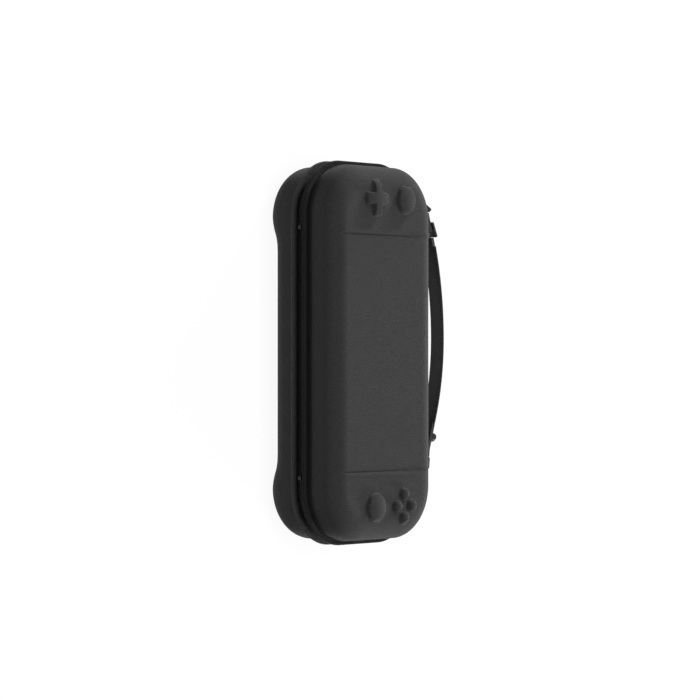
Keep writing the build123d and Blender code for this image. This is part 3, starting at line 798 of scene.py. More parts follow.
@dataclass
class LidShell:
    """Moulded lid: cloth over foam, with its bead, soft edge and embossed face."""

    place: Place
    outline: CaseOutline
    embossing: Embossing
    height: float = 26.9
    edge_width: float = 16.0
    edge_depth: float = 11.5
    tuck: float = 3.8
    wall_rings: int = 8
    edge_rings: int = 16
    face_step: float = 0.45
    fine_face_inset: float = 54.0
    coarse_step: float = 1.6
    lining_gap: float = 6.0
    lining_step: float = 8.0
    lining_start: int = 6
    bead_reach: float = 2.6
    bead_height: float = 1.7
    bead_drop: float = 1.9
    bead_tuck: float = 1.8
    slider_y: float = 50.0
    slider_room: float = 20.0

    def profile(self) -> list[tuple[float, float]]:
        """Gives the inset and height of the lid's thin bead."""
        return self.outline.lip_profile(self.bead_reach, self.bead_height, self.bead_tuck)

    def hang(self, y: float) -> float:
        """Gives the share of the bead's drop at a place across the case."""
        return smooth_step((self.slider_y - y) / self.slider_room)

    def bead(self) -> list[Ring]:
        """Gives the bead's rings, which hang below the rim but at the front, where the sliders run.

        Returns:
            Rings from the rim's inner edge to the wall.
        """
        rings = []
        for number, (inset, height) in enumerate(self.profile()):
            drop = self.bead_drop if number > 1 else 0.0
            level = self.outline.rim + height
            rings.append([self.place.point(x, y, level - drop * self.hang(y))
                          for x, y in self.outline.ring(inset)])
        return rings

    def rings(self, profile: Sequence[tuple[float, float, float]]) -> list[Ring]:
        """Turns inset, height and share of relief into rings of frame points.

        Args:
            profile: Inset, height and share of relief of each ring.

        Returns:
            The rings.
        """
        made = []
        for inset, height, share in profile:
            ring = []
            for x, y in self.outline.ring(inset):
                relief = self.embossing.relief(x, y) * share if share else 0.0
                ring.append(self.place.point(x, y, height + relief))
            made.append(ring)
        return made

    def shoulder(self, top: float, width: float, depth: float,
                 inset: float) -> list[tuple[float, float, float]]:
        """Gives the wall and the rounded edge of a skin.

        Args:
            top: Height of the skin's flat face.
            width: Width of its soft edge on the face.
            depth: Depth of its soft edge on the wall.
            inset: Distance of the skin from the outer one.

        Returns:
            Inset, height and share of relief from the low end of the wall to the face.
        """
        outline = self.outline
        low = outline.rim + outline.tape_seat - self.tuck
        bend = top - depth
        first = math.atan(depth / width * math.tan(math.radians(outline.draft_degrees)))
        last = bend + depth * math.sin(first)
        centre = inset + outline.draft_inset(last - outline.rim) + width * math.cos(first)
        points = []
        for i in range(self.wall_rings):
            z = low + (last - low) * i / self.wall_rings
            points.append((inset + outline.draft_inset(z - outline.rim), z, 0.0))
        for i in range(self.edge_rings + 1):
            turn = first + (math.pi / 2 - first) * i / self.edge_rings
            points.append((centre - width * math.cos(turn), bend + depth * math.sin(turn),
                           smooth_step(2 * math.sin(turn) - 1)))
        return points

    def face(self, start: float, top: float, relief: bool) -> list[tuple[float, float, float]]:
        """Gives the face's rings from an inset to the middle line.

        Args:
            start: Inset of the first ring.
            top: Height of the face.
            relief: Whether the face carries the embossing.

        Returns:
            Inset, height and share of relief.
        """
        end = self.outline.half_width - self.outline.smallest_radius
        points = []
        inset = start
        while inset < end:
            points.append((inset, top, 1.0 if relief else 0.0))
            if relief:
                inset += self.face_step if inset < self.fine_face_inset else self.coarse_step
            else:
                inset += self.lining_step
        points.append((end, top, 1.0 if relief else 0.0))
        return points

    def build(self, finish: Finish) -> bpy.types.Object:
        """Builds the lid, cloth outside and lining inside.

        Args:
            finish: Finishes of the case.

        Returns:
            The lid.
        """
        outline = self.outline
        sketch = MeshSketch()
        outer = self.shoulder(self.height, self.edge_width, self.edge_depth, 0.0)
        outer += self.face(outer[-1][0] + self.face_step, self.height, True)
        # The bead takes the darker cloth of slot 2, painted shade
        lip = sketch.loft(self.bead(), slot=2)
        rings = sketch.loft(self.rings(outer))
        sketch.bridge(lip[-1], rings[0])
        sketch.close_across(rings[-1])
        seat = outline.rim + outline.tape_seat
        inner = [(outline.rim_wall, seat, 0.0)]
        inner += self.shoulder(self.height - outline.wall, self.edge_width - outline.wall,
                               self.edge_depth - outline.wall, outline.wall)[self.lining_start:]
        inner += self.face(inner[-1][0] + self.lining_gap, self.height - outline.wall, False)
        lining = sketch.loft(self.rings(inner), slot=1)
        sketch.bridge(lining[0], lip[0], slot=1)
        sketch.close_across(lining[-1][::-1], 1)
        made = sketch.build("lid_cover", (finish.shell, finish.lining, finish.painted_shade_cloth))
        return settle(made, Body.LID, "shell_cloth", "lid_shell")


@dataclass
class BaseShell:
    """Moulded base: deeper at its two ends than at its waist, with a wide soft edge."""

    place: Place
    outline: CaseOutline
    depth: float = 33.1
    waist_rise: float = 4.7
    waist_half: float = 69.6
    waist_run: float = 25.0
    edge_radius: float = 13.0
    bead_height: float = 2.0
    bead_drop: float = 1.0
    bead_gap: float = 1.2
    wall_rings: int = 10
    edge_rings: int = 18
    floor_step: float = 2.2

    def depth_at(self, x: float) -> float:
        """Gives the base's depth below the zip plane, through two arcs at each side of the waist.

        Args:
            x: Distance along the case.

        Returns:
            Depth at that place.
        """
        share = min(1.0, max(0.0, (abs(x) - self.waist_half) / self.waist_run))
        half_run, half_rise = self.waist_run / 2, self.waist_rise / 2
        radius = (half_run ** 2 + half_rise ** 2) / (2 * half_rise)
        step = min(share, 1 - share) * self.waist_run
        bow = radius - math.sqrt(radius ** 2 - step ** 2)
        rise = bow if share <= 0.5 else self.waist_rise - bow
        return self.depth - self.waist_rise + rise

    def skin(self, offset: float, low: float) -> list[Ring]:
        """Gives the rings of a skin from a height on the wall to the middle of the floor.

        Args:
            offset: Distance of the skin inside the outer one.
            low: Height below the zip plane where the skin starts.

        Returns:
            The rings, from the wall down.
        """
        outline = self.outline
        draft = math.radians(outline.draft_degrees)
        radius = self.edge_radius - offset
        rings: list[Ring] = []

        def ring(inset_at: Callable[[float], float], z_at: Callable[[float], float]) -> Ring:
            """Draws one ring whose inset and height follow the depth at each station.

            Args:
                inset_at: Inset for a depth of the base.
                z_at: Height below the zip plane for it.

            Returns:
                Frame points of the ring.
            """
            points = []
            middle = outline.ring(inset_at(self.depth - offset))
            ends = outline.ring(inset_at(self.depth - self.waist_rise - offset))
            for deep, raised in zip(middle, ends):
                depth = self.depth_at(deep[0]) - offset
                share = (depth + offset - self.depth + self.waist_rise) / self.waist_rise
                x = raised[0] + (deep[0] - raised[0]) * share
                y = raised[1] + (deep[1] - raised[1]) * share
                points.append(self.place.point(x, y, -z_at(depth)))
            return points

        for i in range(self.wall_rings):
            share = i / self.wall_rings

            def wall_z(depth: float, part: float = share) -> float:
                """Height below the zip plane of a point on the wall."""
                return low + (depth - radius + radius * math.sin(draft) - low) * part

            rings.append(ring(lambda depth: offset + outline.draft_inset(wall_z(depth) - outline.rim),
                              wall_z))
        for i in range(self.edge_rings + 1):
            turn = draft + (math.pi / 2 - draft) * i / self.edge_rings

            def edge_inset(depth: float, angle: float = turn) -> float:
                """Inset of a point on the rounded edge."""
                centre = offset + outline.draft_inset(depth - radius - outline.rim) + radius / math.cos(draft)
                return centre - radius * math.cos(angle)

            rings.append(ring(edge_inset, lambda depth, a=turn: depth - radius + radius * math.sin(a)))
        end = outline.half_width - outline.smallest_radius
        inset = edge_inset(self.depth) + self.floor_step
        while inset < end:
            rings.append(ring(lambda depth, held=inset: held, lambda depth: depth))
            inset += self.floor_step
        rings.append(ring(lambda depth: end, lambda depth: depth))
        return rings

    def build(self, finish: Finish) -> bpy.types.Object:
        """Builds the base, cloth outside and lining inside.

        Args:
            finish: Finishes of the case.

        Returns:
            The base.
        """
        outline = self.outline
        sketch = MeshSketch()
        bead = []
        for inset, height in outline.lip_profile(outline.lip_reach, self.bead_height, outline.seam_tuck):
            drop = height + self.bead_drop if height or inset < 0 else 0.0
            bead.append([self.place.point(x, y, -outline.rim - drop) for x, y in outline.ring(inset)])
        # The bead takes the lighter cloth of slot 2, a painted highlight
        lip = sketch.loft([ring[::-1] for ring in bead], slot=2)
        outer = self.skin(0.0, outline.rim + outline.lip_height + self.bead_gap)
        rings = sketch.loft([ring[::-1] for ring in outer])
        sketch.bridge(lip[-1], rings[0])
        sketch.close_across(rings[-1][::-1])
        seat = -outline.rim - outline.tape_seat
        inner = [[self.place.point(x, y, seat) for x, y in outline.ring(outline.rim_wall)]]
        inner += self.skin(outline.wall, outline.rim + outline.tape_seat)
        lining = sketch.loft([ring[::-1] for ring in inner], slot=1)
        sketch.bridge(lining[0], lip[0], slot=1)
        sketch.close_across(lining[-1], 1)
        made = sketch.build("base_cover", (finish.shell, finish.lining, finish.painted_highlight_cloth))
        return settle(made, Body.BASE, "shell_cloth", "base_shell")


@dataclass
class ZipClosure:
    """Two woven tapes with their nylon coils, on the case's three open sides."""

    place: Place
    outline: CaseOutline
    spine_half: float = 86.0
    tape_thickness: float = 0.9
    free_edge: float = 0.8
    edge_round: float = 0.25
    coil_pitch: float = 1.3
    coil_wire: float = 0.3
    coil_turn_points: int = 10
    coil_sides: int = 5
    coil_inset: float = 1.4
    coil_reach: float = 0.5
    coil_middle: float = 1.55
    coil_half_height: float = 0.85

    def tape(self, side: int, name: str, finish: Finish) -> bpy.types.Object:
        """Builds one tape.

        Args:
            side: 1 for the lid, -1 for the base.
            name: Name of the piece.
            finish: Finishes of the case.

        Returns:
            The tape.
        """
        outline = self.outline
        outer, inner = outline.rim_wall, outline.rim_wall + self.tape_thickness
        seat = outline.rim + outline.tape_seat
        edge, bend = self.free_edge, self.edge_round
        corners = ((outer, seat), (outer, edge + bend), (outer + bend, edge),
                   (inner - bend, edge), (inner, edge + bend), (inner, seat))
        paths = [outline.zip_run(inset, self.spine_half) for inset, _ in corners]
        runs = path_lengths([Vector(spot) for spot in paths[0]])
        rings = []
        for station in zip(*paths):
            ring = [self.place.point(x, y, side * z) for (x, y), (_, z) in zip(station, corners)]
            rings.append(ring[::side])
        sketch = MeshSketch()
        sketch.tube(rings, runs)
        return sketch.build(name, (finish.zip_tape,))

    def coil(self, side: int, name: str, finish: Finish) -> bpy.types.Object:
        """Builds one coil as a flattened spiral of nylon wire along its tape's free edge.

        Args:
            side: 1 for the lid, -1 for the base.
            name: Name of the piece.
            finish: Finishes of the case.

        Returns:
            The coil.
        """
        path = self.outline.zip_run(self.coil_inset, self.spine_half)
        lengths = path_lengths([Vector(spot) for spot in path])
        turns = int(lengths[-1] / self.coil_pitch)
        phase = math.pi / 2 * (1 - side)
        spots = []
        station = 0
        for i in range(turns * self.coil_turn_points + 1):
            run = lengths[-1] * i / (turns * self.coil_turn_points)
            while station < len(path) - 2 and lengths[station + 1] < run:
                station += 1
            (x0, y0), (x1, y1) = path[station], path[station + 1]
            share = (run - lengths[station]) / (lengths[station + 1] - lengths[station])
            ahead = Vector((x1 - x0, y1 - y0)).normalized()
            turn = 2 * math.pi * i / self.coil_turn_points + phase
            out = self.coil_reach * math.cos(turn)
            z = side * (self.coil_middle + self.coil_half_height * math.sin(turn))
            spots.append(Vector((x0 + (x1 - x0) * share + ahead.y * out,
                                 y0 + (y1 - y0) * share - ahead.x * out, z)))
        rings = []
        for i, spot in enumerate(spots):
            ahead = (spots[min(i + 1, len(spots) - 1)] - spots[max(i - 1, 0)]).normalized()
            first = ahead.cross(Vector((0, 0, 1))).normalized()
            second = ahead.cross(first)
            rings.append(self.place.circle(spot, first, second, self.coil_wire, self.coil_sides))
        sketch = MeshSketch()
        sketch.tube(rings)
        return sketch.build(name, (finish.coil,))

    def build(self, finish: Finish) -> None:
        """Builds both tapes and both coils.

        Args:
            finish: Finishes of the case.
        """
        for side, body in ((1, Body.LID), (-1, Body.BASE)):
            tape = self.tape(side, f"{body.value}_tape", finish)
            settle(tape, body, "zip_tape_cloth", f"{body.value}_zip_tape")
            coil = self.coil(side, f"{body.value}_coil", finish)
            settle(coil, body, "zip_coil_nylon", f"{body.value}_zip_coil")


def path_lengths(path: Sequence[Vector]) -> list[float]:
    """Gives the distance along a path at each of its points.

    Args:
        path: Points of the path.

    Returns:
        Distance of each point.
    """
    total = [0.0]
    for first, second in zip(path, path[1:]):
        total.append(total[-1] + (second - first).length)
    return total


def path_normals(path: Sequence[Vector]) -> list[Vector]:
    """Gives the left-hand normal of a flat path at each of its points.

    Args:
        path: Points of the path.

    Returns:
        Normal at each point.
    """
    normals = []
    for i in range(len(path)):
        ahead = (path[min(i + 1, len(path) - 1)] - path[max(i - 1, 0)]).normalized()
        normals.append(Vector((-ahead.y, ahead.x)))
    return normals


def doubled_path(middle: Sequence[Vector], gap: float, eye: float, ease: float, back: float,
                 steps: int = 12) -> list[Vector]:
    """Lays a band out along a line, round an eye at the line's end and back on its other side.

    Args:
        middle: Line between the two layers, ending at the eye's centre.
        gap: Distance of each layer's middle from the line.
        eye: Radius of the layer's middle round the eye.
        ease: Length over which the layers open up to the eye.
        back: Length of the layer that comes back.
        steps: Count of steps round the eye.

    Returns:
        Path of the band's middle.
    """
    lengths, normals = path_lengths(middle), path_normals(middle)
    end = lengths[-1]
    sides = [gap + (eye - gap) * smooth_step((run - end + ease) / ease) for run in lengths]
    out = [spot + normal * side for spot, normal, side in zip(middle, normals, sides)]
    turn = normals[-1]
    ahead = Vector((turn.y, -turn.x))
    for i in range(1, steps):
        angle = math.pi * i / steps
        out.append(middle[-1] + (turn * math.cos(angle) + ahead * math.sin(angle)) * eye)
    for spot, normal, side, run in reversed(list(zip(middle, normals, sides, lengths))):
        if end - run <= back:
            out.append(spot - normal * side)
    return out


def band_section(half_thick: float, low: float, high: float, edge: float) -> list[tuple[float, float]]:
    """Gives a woven band's section: rounded edges with a slightly thicker selvedge.

    Args:
        half_thick: Half of the band's thickness.
        low: Height of its lower edge.
        high: Height of its upper edge.
        edge: Radius of the edges.

    Returns:
        Outward distance and height of each corner.
    """
    waist, selvedge = half_thick * BAND_WAIST, BAND_SELVEDGE * edge
    corner = [(half_thick, high - 2 * edge)]
    for turn in (0, math.pi / 6, math.pi / 3, math.pi / 2):
        corner.append((half_thick - edge * (1 - math.cos(turn)), high - edge * (1 - math.sin(turn))))
    half = corner + [(-out, z) for out, z in reversed(corner)]
    half += [(-waist, high - selvedge), (-waist, low + selvedge)]
    return half + [(-out, low + high - z) for out, z in half]


@dataclass
class Stitching:
    """Rows of sewing thread that stand a little proud of a band."""

    place: Place
    thread: float = 0.24
    stitch: float = 2.4
    gap: float = 0.9
    taper: float = 0.18
    end_share: float = 0.35
    sides: int = 6

    def row(self, sketch: MeshSketch, path: Sequence[Vector]) -> None:
        """Adds one row of stitches along a path of points about the zip plane's middle.

        Args:
            sketch: Sketch that gets the piece.
            path: Points that the row follows.
        """
        lengths = path_lengths(path)
        count = int((lengths[-1] + self.gap) / (self.stitch + self.gap))
        for i in range(count):
            start = (lengths[-1] - count * (self.stitch + self.gap) + self.gap) / 2
            start += i * (self.stitch + self.gap)
            spots = [self.along(path, lengths, start + self.stitch * share)
                     for share in (0, self.taper, 1 - self.taper, 1)]
            ahead = (spots[-1] - spots[0]).normalized()
            first = ahead.orthogonal().normalized()
            second = ahead.cross(first)
            sketch.tube([self.place.circle(spot, first, second, self.thread * swell, self.sides)
                         for spot, swell in zip(spots, (self.end_share, 1.0, 1.0, self.end_share))])

    @staticmethod
    def along(path: Sequence[Vector], lengths: Sequence[float], run: float) -> Vector:
        """Gives the point at a distance along a path.

        Args:
            path: Points of the path.
            lengths: Distance of each point.
            run: Distance.

        Returns:
            Point at that distance.
        """
        for i in range(len(path) - 1):
            if run <= lengths[i + 1] or i == len(path) - 2:
                share = (run - lengths[i]) / (lengths[i + 1] - lengths[i])
                return path[i].lerp(path[i + 1], share)
        return path[-1]


@dataclass
class CarryStrap:
    """Webbing strap on edge, folded round the lower ring, with its stitching and the two anchor tabs."""

    place: Place
    outline: CaseOutline
    level: float = 8.0
    width: float = 10.0
    selvedge: float = 0.8
    thickness: float = 1.5
    tongue: float = 6.0
    tongue_length: float = 4.8
    nose_past: float = 7.65
    nose_rise: float = 9.9
    nose_room: float = 1.2
    clasp_length: float = 25.1
    rear_sweep: float = 16.2
    fore_sweep: float = 18.5
    peak_x: float = -10.0
    fore_back: float = 46.9
    run_length: float = 30.0
    fold: float = 26.0
    fold_ease: float = 7.0
    rear_steps: int = 40
    fore_steps: int = 36
    run_steps: int = 30
    seam_inset: float = 1.7
    seam_stop: int = 8
    seam_sink: float = 0.95
    bore: float = 1.1
    edge: float = 0.4
    ring_length: float = 8.0
    lower_turn: float = -6.0
    upper_turn: float = 63.0
    tab_layer: float = 0.9
    tab_eye: float = 1.65
    tab_low: float = 7.6
    tab_sweep: float = 14.0
    tab_bend: float = 1.0
    tab_seat: float = 3.0
    tab_edge: float = 0.22
    tab_ease: float = 3.0
    tab_back: float = 100.0
    tab_steps: int = 14
    tab_seams: tuple[float, float] = (0.12, 0.88)
    lower_tab: float = 0.5
    upper_tab: float = 24.0

    def corner(self, side: int) -> Vector:
        """Gives the middle of one of the lid's two front corners."""
        radius = self.outline.corner_radius
        return Vector((side * (self.outline.half_length - radius), self.outline.half_width - radius))

    def nose(self) -> Vector:
        """Gives the middle of the snap hook's nose."""
        return Vector((self.corner(-1).x - self.nose_past, self.outline.half_width + self.nose_rise))

    def line(self) -> list[Vector]:
        """Gives the strap's middle line from the ferrule to the lower ring.

        Returns:
            Points of the line.
        """
        start = self.nose() + heading(self.rear_sweep) * self.clasp_length
        radius = (self.peak_x - start.x) / math.sin(math.radians(self.rear_sweep))
        centre = start - heading(90 + self.rear_sweep) * radius
        points = [centre + heading(90 + self.rear_sweep * (1 - i / self.rear_steps)) * radius
                  for i in range(self.rear_steps)]
        peak = centre + Vector((0, radius))
        span = self.corner(1).x - self.fore_back - self.peak_x
        radius = span / math.sin(math.radians(self.fore_sweep))
        centre = peak - Vector((0, radius))
        points += [centre + heading(90 - self.fore_sweep * i / self.fore_steps) * radius
                   for i in range(self.fore_steps + 1)]
        ahead = heading(-self.fore_sweep)
        points += [points[-1] + ahead * (self.run_length * i / self.run_steps)
                   for i in range(1, self.run_steps + 1)]
        return points

    def lower_bar(self) -> Vector:
        """Gives the middle of the lower ring's bar in the strap's eye."""
        return self.line()[-1] - heading(90 - self.fore_sweep) * self.thickness / 2

    def band(self, sketch: MeshSketch, path: Sequence[Vector], section: Sequence[tuple[float, float]],
             narrow: int = 0, share: float = 1.0) -> None:
        """Adds a band along a flat path.

        Args:
            sketch: Sketch that gets the band.
            path: Middle line of the band.
            section: Outward distance and height of each corner.
            narrow: Count of points at the start that are narrower.
            share: Width of those points.
        """
        rings = []
        for i, (spot, normal) in enumerate(zip(path, path_normals(path))):
            fit = share if i < narrow else 1.0
            rings.append([self.place.point(*(spot + normal * out), self.level + (z - self.level) * fit)
                          for out, z in section])
        sketch.tube(rings, path_lengths(path))

    def build_strap(self, finish: Finish) -> None:
        """Builds the webbing and its two rows of stitches on each face.

        Args:
            finish: Finishes of the case.
        """
        line = self.line()
        half = self.thickness / 2
        middle = [spot - normal * half for spot, normal in zip(line, path_normals(line))]
        path = doubled_path(middle, half, self.bore + half, self.fold_ease, self.fold)
        tail = heading(self.rear_sweep)
        path = [path[0] - tail * self.tongue_length, path[0] - tail * 0.05] + path
        low, high = self.level - self.width / 2 - self.selvedge, self.level + self.width / 2
        sketch = MeshSketch()
        section = band_section(half, low, high, self.edge)
        self.band(sketch, path, section, 2, self.tongue / (self.width + 2 * self.selvedge))
        strap = sketch.build("webbing_strap", (finish.webbing,))
        settle(strap, Body.LID, "webbing", "carry_strap")
        stitching = Stitching(self.place)
        rows = MeshSketch()
        straight = line[1:-self.seam_stop]
        normals = path_normals(line)[1:-self.seam_stop]
        for side in (-1, 1):
            for z in (low + self.seam_inset, high - self.seam_inset):
                stitching.row(rows, [Vector((*(spot + normal * side * half * self.seam_sink), z))
                                     for spot, normal in zip(straight, normals)])
        settle(rows.build("strap_stitches", (finish.thread,)), Body.LID, "webbing")

    def build_tab(self, side: int, name: str, eye: Vector, angle: float, finish: Finish) -> None:
        """Builds one anchor tab: two layers sewn on the lid's corner and looped round the ring.

        Args:
            side: 1 for the lower end of the strap, -1 for the upper.
            name: Node that the tab replaces.
            eye: Middle of the ring's bar in the tab's eye.
            angle: Where the tab leaves the lid, in degrees round its corner.
            finish: Finishes of the case.
        """
        corner = self.corner(side)
        radius = self.outline.corner_radius + self.tab_layer - self.outline.draft_inset(self.tab_seat)
        first = 90 - side * angle
        root = [corner + heading(first - side * self.tab_sweep * (1 - i / self.tab_steps)) * radius
                for i in range(self.tab_steps)]
        seat = corner + heading(first - side * self.tab_bend) * radius
        root = [spot for spot in root if (spot - seat).length > 1.0]
        middle = root + [seat.lerp(eye, i / self.tab_steps) for i in range(self.tab_steps + 1)]
        path = doubled_path(middle, self.tab_layer / 2, self.tab_eye, self.tab_ease, self.tab_back)
        sketch = MeshSketch()
        top = self.level + self.width / 2
        self.band(sketch, path, band_section(self.tab_layer / 2, self.tab_low, top, self.tab_edge))
        settle(sketch.build(name + "_webbing", (finish.webbing,)), Body.LID, "webbing", name)
        rows = MeshSketch()
        stitching = Stitching(self.place, stitch=1.8, gap=0.7)
        for share in self.tab_seams:
            height = self.tab_low + (top - self.tab_low) * share
            row = [corner + heading(first - side * self.tab_sweep * (0.95 - 0.8 * i / 8)) *
                   (radius + self.tab_layer) for i in range(9)]
            stitching.row(rows, [Vector((*spot, height)) for spot in row])
        settle(rows.build(name + "_stitches", (finish.thread,)), Body.LID, "webbing")

    def build(self, finish: Finish) -> None:
        """Builds the strap and its tabs.

        Args:
            finish: Finishes of the case.
        """
        self.build_strap(finish)
        bar = self.nose() - heading(self.rear_sweep) * self.nose_room
        upper = bar - heading(self.upper_turn) * self.ring_length
        lower = self.lower_bar() + heading(self.lower_turn) * self.ring_length
        self.build_tab(-1, "upper_anchor_tab", upper, self.upper_tab, finish)
        self.build_tab(1, "lower_anchor_tab", lower, self.lower_tab, finish)


@dataclass
class SpineTape:
    """Woven cloth hinge on the long side without a zip, between base and lid."""

    place: Place
    outline: CaseOutline
    half_length: float = 86.0
    thickness: float = 0.9
    columns: int = 86
    rows: int = 44

    def build(self, finish: Finish) -> None:
        """Builds the strip flat across the zip plane, without bending it.

        Args:
            finish: Finishes of the case.
        """
        outline = self.outline
        reach = outline.rim + outline.tape_seat
        outer = -(outline.half_width - outline.rim_wall)
        faces = []
        for y in (outer, outer + self.thickness):
            faces.append([[self.place.point(-self.half_length + 2 * self.half_length * i / self.columns, y,
                                            -reach + 2 * reach * j / self.rows)
                           for i in range(self.columns + 1)] for j in range(self.rows + 1)])
        sketch = MeshSketch()
        sketch.sheet(*faces)
        for number, spot in enumerate(sketch.points):
            sketch.runs[number] = (spot.x - self.place.middle.x) / MM
        strip = sketch.build("spine_tape", (finish.spine,))
        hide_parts("spine_strip")
        start = self.place.point(0, outer, -outline.rim)
        self.place.point(0, outer, outline.rim)
        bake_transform(strip)
        LOG.info("%s bends between base and lid", strip.name)


@dataclass
class FoamCradle:
    """Moulded foam tray with the console's recess and a grip well at each end."""

    place: Place
    outline: CaseOutline
    shell: BaseShell
    clearance: float = 0.3
    drop: float = 0.6
    end_rim: float = 7.3
    side_rim: float = 6.7
    corner_rim: float = 8.0
    sink: float = 10.7
    floor_round: float = 4.0
    edge_round: float = 1.3
    well_x: float = 104.5
    well_half_length: float = 12.5
    well_half_width: float = 38.0
    well_corner: float = 10.0
    well_depth: float = 6.0
    well_ease: float = 2.4
    step: float = 1.5
    fill: float = 0.95
    rim_flat: float = 2.2
    wall_stops: tuple[float, float] = (3.0, 5.0)
    well_inset: float = 2.0
    edge_steps: int = 6
    floor_steps: int = 8

    def well(self, x: float, y: float) -> float:
        """Gives how far a grip well sinks below the recess's floor at a point."""
        inside = -rounded_box(abs(x) - self.well_x, y, self.well_half_length, self.well_half_width,
                              self.well_corner)
        return self.well_depth * smooth_step(inside / self.well_ease + 0.2)

    def build(self, finish: Finish) -> None:
        """Builds the tray.

        Args:
            finish: Finishes of the case.
        """
        outline = self.outline
        offset = outline.wall + self.clearance
        top = -outline.rim - self.drop
        skin = self.shell.skin(offset, -top)
        recess = CaseOutline(outline.half_length - self.end_rim, outline.half_width - self.side_rim,
                             outline.corner_radius - self.corner_rim)
        profile = [(-self.rim_flat, top), (-self.edge_round, top)]
        for i in range(1, self.edge_steps + 1):
            turn = math.pi / 2 * i / self.edge_steps
            profile.append((-self.edge_round * (1 - math.sin(turn)),
                            top - self.edge_round * (1 - math.cos(turn))))
        floor = top - self.sink
        profile += [(0.0, top - stop) for stop in self.wall_stops]
        for i in range(self.floor_steps + 1):
            turn = math.pi / 2 * i / self.floor_steps
            profile.append((self.floor_round * (1 - math.cos(turn)),
                            floor + self.floor_round * (1 - math.sin(turn))))
        inset = self.floor_round + self.step
        end = recess.half_width - recess.smallest_radius
        while inset < end:
            profile.append((inset, floor))
            inset += self.step
        profile.append((end, floor))
        rings = skin[::-1]
        for inset, height in profile:
            sunk = inset > self.well_inset
            rings.append([self.place.point(x, y, height - (self.well(x, y) if sunk else 0.0))
                          for x, y in recess.ring(inset)])
        sketch = MeshSketch()
        made = sketch.loft(rings)
        sketch.close_across(made[0][::-1])
        sketch.close_across(made[-1])
        cradle = sketch.build("foam_cradle", (finish.foam,))
        settle(cradle, Body.BASE, "lining_foam", "console_cradle")


